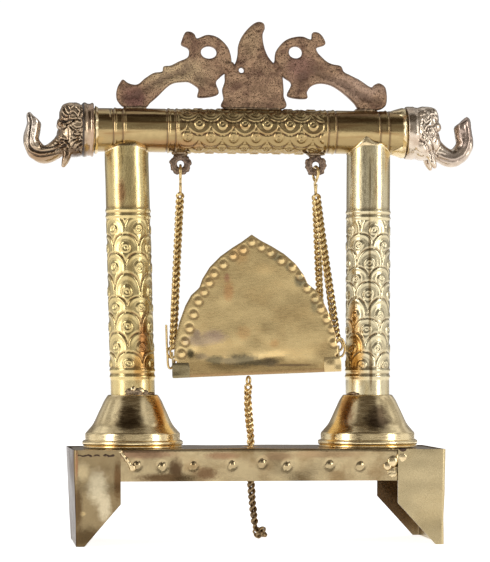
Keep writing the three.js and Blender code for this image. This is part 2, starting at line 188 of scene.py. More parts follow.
def add_world():
    """A studio with pale sides, dim behind the camera's place and overhead, before white paper."""
    world = bpy.data.worlds.new("studio")
    bpy.context.scene.world = world
    world.use_nodes = True
    n = Nodes(world.node_tree)
    direction = n.add("ShaderNodeTexCoord").outputs["Generated"]
    x, y, z = n.add("ShaderNodeSeparateXYZ", {0: direction}).outputs
    streaks = n.add("ShaderNodeTexNoise", {"Vector": direction, "Scale": 3.5, "Detail": 2.0})

    def sideways(centre, outer, inner):
        return n.ramp(n.math("ABSOLUTE", n.math("ADD", x, -centre)), outer, inner)

    def both(a, b):
        return n.math("MULTIPLY", a, b)

    colour = n.mix(n.ramp(streaks.outputs["Fac"], 0.4, 0.6), WALL_DIM, WALL_BRIGHT)
    colour = n.mix(n.ramp(y, -0.5, -0.85), colour, WALL_BEHIND)
    colour = n.mix(n.ramp(z, 0.0, -0.3), colour, GROUND)
    screen = both(both(sideways(-0.5, 0.2, 0.06), n.ramp(y, 0.1, -0.3)), 0.8)
    ceiling = both(both(n.ramp(z, 0.6, 0.72), n.ramp(y, 0.08, -0.12)), sideways(-0.1, 0.62, 0.4))
    far = both(n.ramp(y, 0.5, 0.95), 0.72)
    dark = n.math("MAXIMUM", n.math("MAXIMUM", screen, ceiling), far, clamp=True)
    colour = n.mix(dark, colour, DARK_SCREEN)
    colour = n.mix(n.add("ShaderNodeLightPath").outputs["Is Camera Ray"], colour, WHITE_PAPER)
    n.finish("ShaderNodeOutputWorld", "ShaderNodeBackground", {"Color": colour, "Strength": 1.0})


def add_floor():
    data = bpy.data.meshes.new("floor")
    data.from_pydata([(-6, -6, 0), (6, -6, 0), (6, 6, 0), (-6, 6, 0)], [], [(0, 1, 2, 3)])
    floor = bpy.data.objects.new("floor", data)
    bpy.context.collection.objects.link(floor)
    material = bpy.data.materials.new("floor_paper")
    material.use_nodes = True
    n = Nodes(material.node_tree)
    grain = n.add("ShaderNodeTexNoise", {"Scale": 40.0, "Detail": 3.0})
    colour = n.mix(grain.outputs["Fac"], (0.93, 0.93, 0.93, 1), (0.96, 0.96, 0.955, 1))
    n.finish("ShaderNodeOutputMaterial", "ShaderNodeBsdfPrincipled",
        {"Base Color": colour, "Roughness": 0.9, "Specular IOR Level": 0.1, "Emission Color":
        (1, 1, 1, 1), "Emission Strength": 0.82})
    data.materials.append(material)


add_camera()
bpy.context.scene.view_settings.view_transform = "Standard"
add_world()
add_floor()
add_softbox("left_softbox", (-1.3, -0.7, 0.5), (0, 0, 0.15), 0.45, 0.9, 6)
add_softbox("right_softbox", (1.2, -0.9, 0.45), (0, 0, 0.15), 0.35, 0.9, 5)


# ---------------------------------------------------------------- numbers and shapes
def xyz(x, y, z):
    """Points as rows, from three coordinates that are numbers or arrays."""
    return np.stack(np.broadcast_arrays(x, y, z), -1).reshape(-1, 3)


def smoothstep(x, a, b):
    t = np.clip((x - a) / (b - a), 0, 1)
    return t * t * (3 - 2 * t)


def bump(x, width):
    return np.exp(-((x / width) ** 2))


class Grain:
    """A smooth random field in space, the same on every run. Values lie between -1 and 1."""

    def __init__(self, seed):
        self.lattice = np.random.default_rng(seed).uniform(-1, 1, (24, 24, 24))

    def __call__(self, points, size):
        scaled = np.asarray(points, float) / size
        cell = np.floor(scaled).astype(int)
        part = scaled - cell
        part = part * part * (3 - 2 * part)
        total = np.zeros(len(scaled))
        for corner in product((0, 1), repeat=3):
            weight = np.prod(np.where(corner, part, 1 - part), axis=1)
            where = (cell + corner) % 24
            total += weight * self.lattice[where[:, 0], where[:, 1], where[:, 2]]
        return total


def curve_through(points, step=0.5, closed=False):
    """Points every step along a smooth curve (Catmull-Rom) through the given ones."""
    points = np.asarray(points, float)
    count = len(points)
    out = []
    for i in range(count if closed else count - 1):
        if closed:
            a, b, c, d = (points[(i + k) % count] for k in (-1, 0, 1, 2))
        else:
            b, c = points[i], points[i + 1]
            a = points[i - 1] if i else 2 * b - c
            d = points[i + 2] if i + 2 < count else 2 * c - b
        steps = max(2, int(np.ceil(np.linalg.norm(c - b) / step)))
        for k in range(steps):
            t = k / steps
            out.append(0.5 * (2 * b + (c - a) * t + (2 * a - 5 * b + 4 * c - d) * t**2
                + (3 * b - a - 3 * c + d) * t**3))
    if not closed:
        out.append(points[-1])
    return np.array(out)


def resample(points, step, closed=False):
    """The same line with corners kept roughly and a point about every step."""
    points = np.asarray(points, float)
    if closed:
        points = np.vstack([points, points[:1]])
    out = []
    for a, b in zip(points[:-1], points[1:]):
        steps = max(1, int(np.ceil(np.linalg.norm(b - a) / step)))
        out.extend(a + (b - a) * k / steps for k in range(steps))
    if not closed:
        out.append(points[-1])
    return np.array(out)


def running(points):
    """How far along a line each of its points lies."""
    return np.concatenate([[0], np.cumsum(np.linalg.norm(np.diff(points, axis=0), axis=1))])


def along(points, distances):
    """Places on a line at the given distances from its start."""
    return xyz(*(np.interp(distances, running(points), points[:, k]) for k in range(3)))


def line_length(points):
    return np.linalg.norm(np.diff(np.asarray(points, float), axis=0), axis=1).sum()


def distance_to_lines(points, lines):
    """Shortest distance from each 2-D point to any of the lines, each a list of points."""
    best = np.full(len(points), 1e9)
    for line in lines:
        line = np.asarray(line, float)
        for a, b in zip(line[:-1], line[1:]):
            ab = b - a
            t = np.clip(((points - a) @ ab) / max(ab @ ab, 1e-12), 0, 1)
            best = np.minimum(best, np.linalg.norm(points - a - t[:, None] * ab, axis=1))
    return best


def inside(points, loop):
    """Which 2-D points lie inside a closed loop."""
    x, y = points[:, 0], points[:, 1]
    result = np.zeros(len(points), bool)
    for (x0, y0), (x1, y1) in zip(loop, np.roll(loop, -1, axis=0)):
        crosses = (y0 > y) != (y1 > y)
        with np.errstate(divide="ignore", invalid="ignore"):
            result ^= crosses & (x < (x1 - x0) * (y - y0) / (y1 - y0) + x0)
    return result


def flat_region(outline, holes, cell):
    """An even triangle mesh of a flat region: its points, its triangles and its boundary loops."""
    loops = [np.asarray(outline, float)] + [np.asarray(h, float) for h in holes]
    closed = [np.vstack([loop, loop[:1]]) for loop in loops]
    lowest, highest = loops[0].min(axis=0), loops[0].max(axis=0)
    rows = np.arange(lowest[1], highest[1], cell * 0.87)
    grid = [(x + (cell / 2 if k % 2 else 0), y) for k, y in enumerate(rows) for x
        in np.arange(lowest[0], highest[0], cell)]
    grid = np.array(grid)
    keep = inside(grid, loops[0]) & (distance_to_lines(grid, closed) > cell * 0.55)
    for hole in loops[1:]:
        keep &= ~inside(grid, hole)
    points = list(map(tuple, grid[keep]))
    edges = []
    for loop in loops:
        first = len(points)
        points.extend(map(tuple, loop))
        edges += [(first + i, first + (i + 1) % len(loop)) for i in range(len(loop))]
    verts, _, faces, *_ = delaunay_2d_cdt([Vector(p) for p in points], edges, [], 0, 1e-6)
    verts = np.array([tuple(v) for v in verts])
    faces = np.array([f for f in faces if len(f) == 3])
    centre = verts[faces].mean(axis=1)
    keep = inside(centre, loops[0])
    for hole in loops[1:]:
        keep &= ~inside(centre, hole)
    faces = faces[keep]
    a, b, c = (verts[faces[:, k]] for k in range(3))
    turn = (b - a)[:, 0] * (c - a)[:, 1] - (b - a)[:, 1] * (c - a)[:, 0]
    faces[turn < 0] = faces[turn < 0][:, ::-1]
    faces = faces[np.abs(turn) > 1e-7]
    return verts, faces, closed


def face_normals(points, faces):
    a, b, c = (points[faces[:, k]] for k in range(3))
    return np.cross(b - a, c - a)


def vertex_normals(points, faces):
    normals = np.zeros_like(points)
    per_face = face_normals(points, faces)
    for k in range(3):
        np.add.at(normals, faces[:, k], per_face)
    return normals / np.maximum(np.linalg.norm(normals, axis=1), 1e-12)[:, None]


def close_between(front, rear, faces):
    """A closed body from a front surface and a rear surface with the same triangles."""
    count = len(front)
    edges = np.vstack([faces[:, [0, 1]], faces[:, [1, 2]], faces[:, [2, 0]]])
    known = {(a, b) for a, b in edges.tolist()}
    walls = []
    for a, b in edges.tolist():
        if (b, a) not in known:
            walls.append((b, a, a + count))
            walls.append((b, a + count, b + count))
    body = np.vstack([faces, faces[:, ::-1] + count, np.array(walls)])
    return np.vstack([front, rear]), body


def grid_faces(rows, columns, wrap_rows=False, wrap_columns=False):
    """Quads over a grid of points, stored row by row."""
    i, j = np.meshgrid(np.arange(rows if wrap_rows else rows - 1),
        np.arange(columns if wrap_columns else columns - 1), indexing="ij")
    i2, j2 = (i + 1) % rows, (j + 1) % columns
    return np.stack([i * columns + j, i * columns + j2, i2 * columns + j2, i2 * columns + j],
        -1).reshape(-1, 4)


def sweep(path, radius, sides=10, caps=True):
    """A round wire along a path, with slightly domed ends. radius is a number or one per point."""
    path = np.asarray(path, float)
    count = len(path)
    radius = np.broadcast_to(np.asarray(radius, float), (count,))
    tangents = np.gradient(path, axis=0)
    tangents /= np.linalg.norm(tangents, axis=1)[:, None]
    side = np.cross(tangents[0], [0.31, 0.17, 0.93])
    if np.linalg.norm(side) < 0.3:
        side = np.cross(tangents[0], [1, 0, 0])
    angles = np.arange(sides) / sides * TAU
    rings = []
    for p, t, r in zip(path, tangents, radius):
        side = side - t * (side @ t)
        side /= np.linalg.norm(side)
        other = np.cross(t, side)
        rings.append(p + r * (np.outer(np.cos(angles), side) + np.outer(np.sin(angles), other)))
    points = np.vstack(rings)
    faces = grid_faces(count, sides, wrap_columns=True).tolist()
    if caps:
        ends = np.array([path[0] - tangents[0] * radius[0] * 0.5, path[-1] + tangents[-1] * radius[-1]
            * 0.5])
        start, end = len(points), len(points) + 1
        points = np.vstack([points, ends])
        last = (count - 1) * sides
        for k in range(sides):
            faces.append((start, (k + 1) % sides, k))
            faces.append((end, last + k, last + (k + 1) % sides))
    return points, faces


def outward(points, faces):
    """The faces of a closed body, turned over if they look inwards."""
    points = np.asarray(points, float)
    corners = np.array([(f[0], f[k], f[k + 1]) for f in faces for k in range(1, len(f) - 1)])
    a, b, c = (points[corners[:, k]] for k in range(3))
    if np.einsum("ij,ij->", a, np.cross(b, c)) < 0:
        return [tuple(f)[::-1] for f in faces]
    return faces


def join(parts):
    """Several closed (points, faces) bodies as one."""
    points, faces, first = [], [], 0
    for part_points, part_faces in parts:
        points.append(np.asarray(part_points, float))
        faces.extend(tuple(int(i) + first for i in face) for face in outward(part_points, part_faces))
        first += len(part_points)
    return np.vstack(points), faces


def rolled(points):
    """From the seat's own level frame, floor at zero, to the row frame."""
    points = np.asarray(points, float)
    c, s = np.cos(SEAT_ROLL), np.sin(SEAT_ROLL)
    x, y, z = points[:, 0], points[:, 1], points[:, 2]
    return xyz(x * c + z * s, y, -x * s + z * c + SEAT_FLOOR)


def mesh(name, body, material, rides=None, replaces=(), crease=35, hollow_and_shade=None,
        joined=False):
    """A finished object from (points, faces) in millimetres. The darkening mask tells how deep each
    point lies; on the seat back it also holds painted shade.
    """
    points, faces = body
    faces = faces if joined else outward(points, faces)
    data = bpy.data.meshes.new(name)
    data.from_pydata((np.asarray(points) * MM).tolist(), [], [tuple(map(int, f)) for f in faces])
    data.validate()
    if hollow_and_shade is not None:
        data.attributes.new("hollow_and_shade", "FLOAT", "POINT").data.foreach_set("value", np.clip(hollow_and_shade, 0, 1))
    data.materials.append(material)
    data.shade_smooth()
    data.set_sharp_from_angle(angle=np.radians(crease))
    data.update()
    obj = bpy.data.objects.new(name, data)
    bpy.context.collection.objects.link(obj)
    if rides:
        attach(obj, rides)
    if replaces:
        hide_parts(*replaces)
    return obj


# ---------------------------------------------------------------- materials
def rgba(colour):
    return (*colour, 1)


def on_face(y, deep, rows):
    """Spots of stain and of painted light on an upright face at y. A row is x, z, half width, half
    height, red, green, blue.
    """
    return [(x, y, z, wide, deep, tall, *colour) for x, z, wide, tall, *colour in rows]


def brass(name, colour, tarnish, roughness=(0.12, 0.28), tarnish_amount=0.5, patch_size=12.0,
        patch_shape=(1, 1, 1), grain_size=0.6, grain_shape=(1, 1, 1), grain_bump=0.012, wave_bump=0.0,
        stains_and_painted_light=(), pits=0.0, hollow_and_shade=None, edge=(1, 1, 1)):
    """Metal with tarnish in patches, fine grain, a colour for hollows and painted shade, and spots.

    A spot is its place, its three half sizes and its colour, as nine numbers; some spots are real
    stains, others painted highlights, reflections or shade. edge tints the metal where it is seen at a
    grazing angle.
    """
    material = bpy.data.materials.new(name)
    material.use_nodes = True
    n = Nodes(material.node_tree)
    place = n.add("ShaderNodeTexCoord").outputs["Object"]

    def vector(operation, a, b):
        return n.add("ShaderNodeVectorMath", {0: a, 1: b}, operation=operation).outputs

    def noise(size, detail=4.0, rough=0.55, shape=(1, 1, 1)):
        scaled = vector("DIVIDE", place, shape)["Vector"]
        inputs = {"Vector": scaled, "Scale": 1 / (size * MM), "Detail": detail, "Roughness": rough}
        return n.add("ShaderNodeTexNoise", inputs).outputs["Fac"]

    def raised(height, size, **more):
        inputs = {"Height": height, "Strength": 1.0, "Distance": size * MM, **more}
        return n.add("ShaderNodeBump", inputs).outputs["Normal"]

    metal = 1.0
    patches = noise(patch_size, shape=patch_shape)
    fine = noise(grain_size, 3.0, shape=grain_shape)
    tarnished = n.math("MULTIPLY", n.ramp(patches, 0.42, 0.72), tarnish_amount)
    base = n.mix(tarnished, rgba(colour), rgba(tarnish))
    # Each spot mixes its colour in: some are real stains, others painted highlights, reflections or
    # shade.
    for x, y, z, *spot in stains_and_painted_light:
        radii = spot[:3]
        away = vector("SUBTRACT", place, [c * MM for c in (x, y, z)])["Vector"]
        away = vector("DIVIDE", away, [c * MM for c in radii])["Vector"]
        ragged = noise(min(radii[0], radii[2]) * 0.5)
        reach = n.math("ADD", vector("LENGTH", away, (0, 0, 0))["Value"], ragged)
        base = n.mix(n.ramp(reach, 1.95, 0.95), base, rgba(spot[3:]))
    if pits:
        dark = n.math("MULTIPLY", n.ramp(fine, 0.5, 0.36), pits)
        base = n.mix(dark, base, rgba([c * 0.25 for c in tarnish]))
    if hollow_and_shade:
        depth = n.add("ShaderNodeAttribute", attribute_name="hollow_and_shade").outputs["Fac"]
        base = n.mix(depth, base, rgba(hollow_and_shade))
        metal = n.ramp(depth, 0.3, 1.0, 1.0, 0.45)
    normal = raised(fine, grain_bump)
    if wave_bump:
        normal = raised(noise(9.0, 2.0), wave_bump, Normal=normal)
    n.finish("ShaderNodeOutputMaterial", "ShaderNodeBsdfPrincipled",
        {"Base Color": base, "Metallic": metal, "Roughness": n.ramp(fine, 0.35, 0.65, *roughness),
        "Normal": normal, "Specular Tint": rgba(edge)})
    return material


COLUMN_FINISH = {"roughness": (0.21, 0.3), "tarnish_amount": 0.75, "patch_size": 7,
    "patch_shape": (1, 1, 4), "grain_shape": (1, 1, 5), "wave_bump": 0.03}
HEAD_FINISH = {"tarnish_amount": 0.8, "patch_size": 6, "grain_size": 0.8, "grain_bump": 0.04}
WIRE_FINISH = {"patch_size": 3, "grain_size": 0.3, "grain_bump": 0.02}
# The thin upright spot down the front of the column is a painted dark reflection line.
COLUMN_LEFT = brass("column_brass_left", (0.7, 0.555, 0.265), (0.6, 0.42, 0.16),
    hollow_and_shade=(0.26, 0.14, 0.05),
    stains_and_painted_light=[(-70, 0, 143, 40, 40, 45, 0.57, 0.45, 0.21),
    (-70.6, -12.7, 143, 1.5, 4, 46, 0.44, 0.33, 0.14), (-63.4, -9, 114, 3.0, 9, 18, 0.26, 0.12, 0.04),
    (-66, -9, 100, 3.4, 9, 9, 0.48, 0.27, 0.08), (-76, -11, 201, 2.8, 6, 7, 0.5, 0.29, 0.13),
    (-71.6, -12, 212, 2.4, 5, 13, 0.5, 0.39, 0.18)], **COLUMN_FINISH)
# The thin upright spots down the front of the column are painted dark reflection lines.
COLUMN_RIGHT = brass("column_brass_right", (0.7, 0.605, 0.39), (0.6, 0.45, 0.2),
    hollow_and_shade=(0.26, 0.17, 0.08),
    stains_and_painted_light=[(69, 0, 143, 40, 40, 45, 0.58, 0.5, 0.32), (68, -12.7, 150, 0.8, 4, 44, 0.28, 0.21, 0.11),
    (68.6, -12.7, 100, 1.0, 4, 12, 0.26, 0.19, 0.1), (68.4, -12.7, 209, 0.6, 4, 14, 0.34, 0.27, 0.15),
    (62.6, -10.5, 208, 0.6, 5, 13, 0.44, 0.35, 0.2), (72.0, -12, 206, 0.5, 4, 12, 0.48, 0.34, 0.18),
    (61.0, -9, 108, 3.6, 9, 16, 0.6, 0.35, 0.11), (59.0, -8, 128, 2.4, 8, 9, 0.52, 0.3, 0.1)],
    **COLUMN_FINISH)
# Its first three spots darken the lower front of the beam along its length: painted darker reflection.
BEAM_BRASS = brass("beam_brass", (0.465, 0.345, 0.165), (0.27, 0.15, 0.06), roughness=(0.17, 0.26),
    patch_size=3.2, patch_shape=(7, 1, 1), grain_shape=(5, 1, 1), wave_bump=0.04,
    hollow_and_shade=(0.12, 0.06, 0.025),
    stains_and_painted_light=[(0, -10, 229.5, 130, 8, 5, 0.35, 0.25, 0.115),
    (-100, -10, 231, 12, 6, 3.4, 0.44, 0.26, 0.09), (-46, -8, 229, 22, 6, 2.6, 0.34, 0.2, 0.09),
    (62, -12, 247, 22, 8, 1.2, 0.16, 0.09, 0.04), (-62, -12, 245.5, 20, 8, 1.0, 0.16, 0.09, 0.04),
    (-58, -12, 241.5, 24, 8, 0.7, 0.22, 0.13, 0.05)], tarnish_amount=0.8)
FOOT_BRASS = brass("spun_brass", (0.96, 0.77, 0.44), (0.8, 0.58, 0.29), roughness=(0.14, 0.28),
    patch_size=9, patch_shape=(2, 2, 1), grain_size=0.45, grain_shape=(9, 9, 1), wave_bump=0.02,
    stains_and_painted_light=[(-54, -14, 76, 3.4, 12, 14, 0.56, 0.29, 0.08),
    (-72, -24, 70, 8.6, 14, 5.4, 0.19, 0.13, 0.065), (-72, -24, 75, 6.0, 14, 4, 0.26, 0.18, 0.09),
    (54, -14, 76, 4, 12, 12, 0.4, 0.24, 0.12), (71, -24, 70, 8.4, 14, 5.4, 0.19, 0.13, 0.075),
    (72, -24, 75.4, 5.0, 14, 4, 0.26, 0.18, 0.1)], grain_bump=0.006)
# The four dark spots beside the right-hand pearls high on the back are painted shade.
SEAT_BRASS = brass("seat_brass", (0.69, 0.515, 0.245), (0.7, 0.48, 0.21), roughness=(0.22, 0.3),
    patch_size=11, wave_bump=0.05, hollow_and_shade=(0.36, 0.22, 0.09),
    stains_and_painted_light=on_face(-17, 5,
    [(0, 99.6, 60, 5.0, 0.45, 0.31, 0.135), (-15.5, 151.5, 1.6, 2.6, 0.58, 0.32, 0.17),
    (-14.5, 144, 3.0, 5.5, 0.66, 0.39, 0.17), (-8, 165, 5, 5, 0.7, 0.46, 0.2),
    (-6, 120, 4, 4, 0.68, 0.45, 0.2), (-23, 118, 7, 3.6, 0.5, 0.36, 0.24),
    (-31, 115.5, 9, 3.0, 0.54, 0.4, 0.25), (-33, 119, 2.4, 3, 0.42, 0.31, 0.2),
    (12, 114, 2.4, 2.4, 0.66, 0.42, 0.18), (13, 164, 2.8, 2.6, 0.32, 0.26, 0.14),
    (20, 158.5, 2.4, 2.4, 0.4, 0.31, 0.16), (27, 150, 3.6, 3.4, 0.28, 0.23, 0.13),
    (35, 136, 2.2, 4.4, 0.42, 0.33, 0.17), (-36.4, 108, 2.2, 2.6, 0.13, 0.1, 0.05),
    (-22, 104.4, 6.0, 2.6, 0.19, 0.15, 0.08), (-6, 104.6, 9, 3.4, 0.2, 0.16, 0.09),
    (9, 103.2, 5, 2.4, 0.24, 0.18, 0.1), (-30, 101.4, 8, 1.8, 0.46, 0.32, 0.14),
    (-14, 103.8, 5, 1.8, 0.26, 0.2, 0.11), (2.4, 103.0, 4, 1.6, 0.26, 0.2, 0.11),
    (22, 101.6, 12, 0.7, 0.24, 0.16, 0.08), (-30, 106.5, 4, 1.8, 0.42, 0.31, 0.17)]),
    grain_shape=(6, 1, 1), patch_shape=(2, 1, 1), grain_bump=0.004)
CAST_BRONZE = brass("cast_bronze", (0.42, 0.27, 0.165), (0.17, 0.095, 0.065), roughness=(0.3, 0.55),
    tarnish_amount=0.9, patch_size=6, grain_size=0.55, grain_bump=0.42, pits=1.0,
    hollow_and_shade=(0.1, 0.055, 0.035),
    stains_and_painted_light=[(-45, -3, 271, 19, 9, 9, 0.56, 0.41, 0.24), (-68, -3, 256, 7, 9, 6, 0.25, 0.13, 0.1),
    (60, -3, 264, 18, 9, 7, 0.5, 0.34, 0.24), (29, -3, 275, 8, 9, 9, 0.29, 0.165, 0.12),
    (0, -3, 290, 6, 9, 9, 0.4, 0.27, 0.16)])
# The nearly black spot low on the head, by the collar, is a painted shadow.
HEAD_LEFT = brass("head_brass_left", (0.47, 0.355, 0.235), (0.24, 0.15, 0.09), roughness=(0.14, 0.26),
    hollow_and_shade=(0.035, 0.022, 0.015),
    stains_and_painted_light=[(-92, 0, 239, 4.4, 18, 17, 0.42, 0.27, 0.18),
    (-102, -12, 222.5, 9, 14, 4, 0.12, 0.075, 0.045), (-124, -6, 222, 9, 9, 3, 0.34, 0.22, 0.13),
    (-126.5, 0, 240, 7, 12, 12, 0.74, 0.63, 0.52)], **HEAD_FINISH)
HEAD_RIGHT = brass("head_brass_right", (0.66, 0.555, 0.44), (0.48, 0.36, 0.26), roughness=(0.16, 0.3),
    hollow_and_shade=(0.17, 0.12, 0.09),
    stains_and_painted_light=[(126, -4, 240, 7, 9, 14, 0.42, 0.32, 0.26), (118, -4, 223, 9, 9, 3.4, 0.46, 0.37, 0.3)],
    **HEAD_FINISH)
WIRE_BRASS = brass("wire_brass", (0.66, 0.49, 0.23), (0.36, 0.22, 0.08), roughness=(0.2, 0.36),
    **WIRE_FINISH)
PULL_WIRE = brass("pull_wire", (0.86, 0.67, 0.36), (0.5, 0.33, 0.14), roughness=(0.2, 0.36),
    **WIRE_FINISH)
# The pull wire again, painted dark for the chain and knot below the table: painted shade under the
# table.
PULL_WIRE_SHADED = brass("pull_wire_painted_shade", (0.34, 0.24, 0.13), (0.1, 0.065, 0.035), roughness=(0.25, 0.42),
    tarnish_amount=0.9, **WIRE_FINISH)
SOLDER = brass("solder", (0.3, 0.22, 0.14), (0.12, 0.08, 0.06), roughness=(0.25, 0.5), patch_size=2.5,
    grain_size=0.5, grain_bump=0.1, pits=0.5)
CHAR = brass("burnt_flux", (0.085, 0.055, 0.04), (0.03, 0.02, 0.015), roughness=(0.35, 0.6),
    patch_size=2, grain_size=0.5, grain_bump=0.2)
SEAM = brass("brass_solder", (0.76, 0.61, 0.36), (0.45, 0.3, 0.16), roughness=(0.16, 0.32), patch_size=3,
    grain_size=0.6, grain_bump=0.05)
LUG_BRONZE = brass("lug_bronze", (0.25, 0.175, 0.125), (0.09, 0.06, 0.045), roughness=(0.3, 0.5),
    tarnish_amount=0.8, patch_size=3, grain_size=0.5, grain_bump=0.2, pits=0.7)
# Its first spot paints the top and the rounded top edge of the table bright: a painted highlight.
TABLE_BRASS = brass("table_brass", (0.47, 0.365, 0.205), (0.27, 0.175, 0.08), roughness=(0.15, 0.24),
    patch_size=13, wave_bump=0.06, stains_and_painted_light=[(0, 0, 56.2, 160, 60, 1.8, 1.0, 0.72, 0.46)]
    +
    on_face(-36, 5, [(-64, 51.4, 18, 2.4, 0.34, 0.21, 0.12), (-46, 43, 4, 6, 0.1, 0.06, 0.03),
    (-52, 38.2, 15, 2.4, 0.14, 0.085, 0.04), (-29, 40.5, 6, 3.6, 0.2, 0.12, 0.06),
    (-20, 50.5, 9, 2.0, 0.36, 0.22, 0.12), (12, 50, 8, 2.4, 0.36, 0.24, 0.13),
    (40, 51, 20, 2.0, 0.38, 0.26, 0.14)]), tarnish_amount=0.8)
# On the near flap the pale spots, in the middle and towards the left, are painted reflections and
# highlights.
LEG_LEFT = brass("leg_brass_left", (0.27, 0.2, 0.105), (0.19, 0.125, 0.06), roughness=(0.12, 0.2),
    patch_size=14, wave_bump=0.05,
    stains_and_painted_light=on_face(-37, 5, [(-90, 33, 5.4, 9, 0.6, 0.505, 0.33), (-86, 22, 3.6, 8, 0.57, 0.475, 0.31),
    (-98, 42, 3.6, 5, 0.5, 0.39, 0.22), (-78.6, 37, 2.2, 11, 0.14, 0.08, 0.035),
    (-97, 5, 11, 6, 0.1, 0.065, 0.03), (-98.4, 18.4, 1.8, 1.2, 0.5, 0.37, 0.18),
    (-101, 22, 2.6, 13, 0.12, 0.075, 0.035), (-90, 55, 30, 0.9, 0.36, 0.18, 0.08),
    (-101.6, 46, 0.8, 8, 0.3, 0.16, 0.08)]), tarnish_amount=0.5, edge=(0.16, 0.11, 0.065))
# Its spot darkens the far flap, seen under the table: painted shade.
LEG_RIGHT = brass("leg_brass_right", (0.52, 0.415, 0.235), (0.42, 0.32, 0.165), roughness=(0.2, 0.34),
    patch_size=16, wave_bump=0.05, stains_and_painted_light=[(84, 37, 30, 40, 10, 40, 0.15, 0.095, 0.05)])
TRAY_BRASS = brass("tray_brass", (0.62, 0.47, 0.24), (0.45, 0.28, 0.11), roughness=(0.18, 0.32),
    patch_size=10, wave_bump=0.05)
TAB_DARK = brass("tab_brass", (0.25, 0.2, 0.11), (0.17, 0.13, 0.06), roughness=(0.2, 0.34), patch_size=3,
    wave_bump=0.03)


# ---------------------------------------------------------------- chains
def link(width, length, wire, twist=60, sections=20, sides=8):
    """One curb link: an oval of wire, twisted so that its neighbours lie flat against it."""
    angle = np.arange(sections) / sections * TAU
    a, b = width / 2 - wire, length / 2 - wire
    x = a * np.sign(np.cos(angle)) * np.abs(np.cos(angle)) ** 0.75
    z = b * np.sin(angle)
    turn = np.radians(twist) * z / b
    centre = xyz(x * np.cos(turn), x * np.sin(turn), z)
    tangent = np.roll(centre, -1, axis=0) - np.roll(centre, 1, axis=0)
    tangent /= np.linalg.norm(tangent, axis=1)[:, None]
    out = centre - tangent * np.sum(centre * tangent, axis=1)[:, None]
    out /= np.linalg.norm(out, axis=1)[:, None]
    other = np.cross(tangent, out)
    ring = np.arange(sides) / sides * TAU
    points = (centre[:, None, :] + wire * np.cos(ring)[None, :, None] * out[:, None, :] + wire
        * np.sin(ring)[None, :, None] * other[:, None, :]).reshape(-1, 3)
    return points, grid_faces(sections, sides, wrap_rows=True, wrap_columns=True)


def chain(route, pitch, spin, seed, **link_sizes):
    """Links along a route. spin gives the turn of each link about the route, in degrees."""
    random = np.random.default_rng(seed)
    length = line_length(route)
    count = max(1, round(length / pitch))
    step = length / count
    link_points, link_faces = link(**link_sizes)
    parts = []
    for k in range(count):
        centre = along(route, [(k + 0.5) * step])[0]
        ahead = along(route, [min((k + 0.5) * step + 1, length)])[0]
        back = along(route, [max((k + 0.5) * step - 1, 0)])[0]
        z_axis = (ahead - back) / np.linalg.norm(ahead - back)
        x_axis = np.array([1.0, 0, 0]) - z_axis * z_axis[0]
        x_axis /= np.linalg.norm(x_axis)
        y_axis = np.cross(z_axis, x_axis)
        turn = np.radians(spin(k / max(count - 1, 1)) + random.uniform(-7, 7))
        a = np.cos(turn) * x_axis + np.sin(turn) * y_axis
        b = -np.sin(turn) * x_axis + np.cos(turn) * y_axis
        parts.append((centre + link_points @ np.array([a, b, z_axis]), link_faces))
    return join(parts)


PULL_UPPER = [(-1.4, 0, 89.4), (-1.7, 0, 84), (-1.5, 0, 78), (-1, 0, 71.5), (-0.4, 0, 65), (0, 0, 59.5),
    (0, 0, 54.4)]
PULL_LOWER = [(0, 0, 54), (0, 0, 47.5), (0, 0, 41), (0.1, 0, 34.5), (0.5, 0, 28.5), (0.9, 0, 22.5),
    (1.6, 0, 16.5), (2.2, 0, 11), (2.5, 0, 8.2)]
PULL_LINK = {"width": 5.3, "length": 6.7, "wire": 0.82, "twist": 75}
SEAT_LINK = {"width": 5.2, "length": 6.7, "wire": 0.84, "twist": 75}
KNOT_LINK = {"width": 3.6, "length": 5.0, "wire": 0.62, "sides": 7}


def pull_chain():
    upper = curve_through(PULL_UPPER, 0.5)
    body = chain(upper, 3.3, lambda t: 52 + 12 * np.sin(9 * t), 11, **PULL_LINK)
    piece = mesh("pull_chain_above_table", body, PULL_WIRE, joined=True)
    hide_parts("pull_chain_upper")
    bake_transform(piece)
    # Below the table the chain and its knot take the darker wire: painted shade.
    lower = curve_through(PULL_LOWER, 0.5)
    body = chain(lower, 3.6, lambda t: 32 + 45 * t, 12, **PULL_LINK)
    piece = mesh("pull_chain_below_table", body, PULL_WIRE_SHADED, "pull_chain_end", ["pull_chain_lower"],
        joined=True)
    centre = middle("pull_chain_knot")
    t = np.linspace(0, TAU, 120)
    knot = xyz((np.sin(t) + 1.6 * np.sin(2 * t)) * 1.15, (np.cos(t) - 1.6 * np.cos(2 * t)) * 0.75,
        -np.sin(3 * t) * 1.7)
    body = chain(centre + knot + (0, 0, 0.6), 2.9, lambda t: 400 * t, 13, **KNOT_LINK)
    points = np.asarray(body[0])
    points[:, 2] = np.maximum(points[:, 2], 0.4)
    mesh("pull_chain_end_knot", (points, body[1]), PULL_WIRE_SHADED, "pull_chain_end", ["pull_chain_knot"],
        joined=True)


pull_chain()


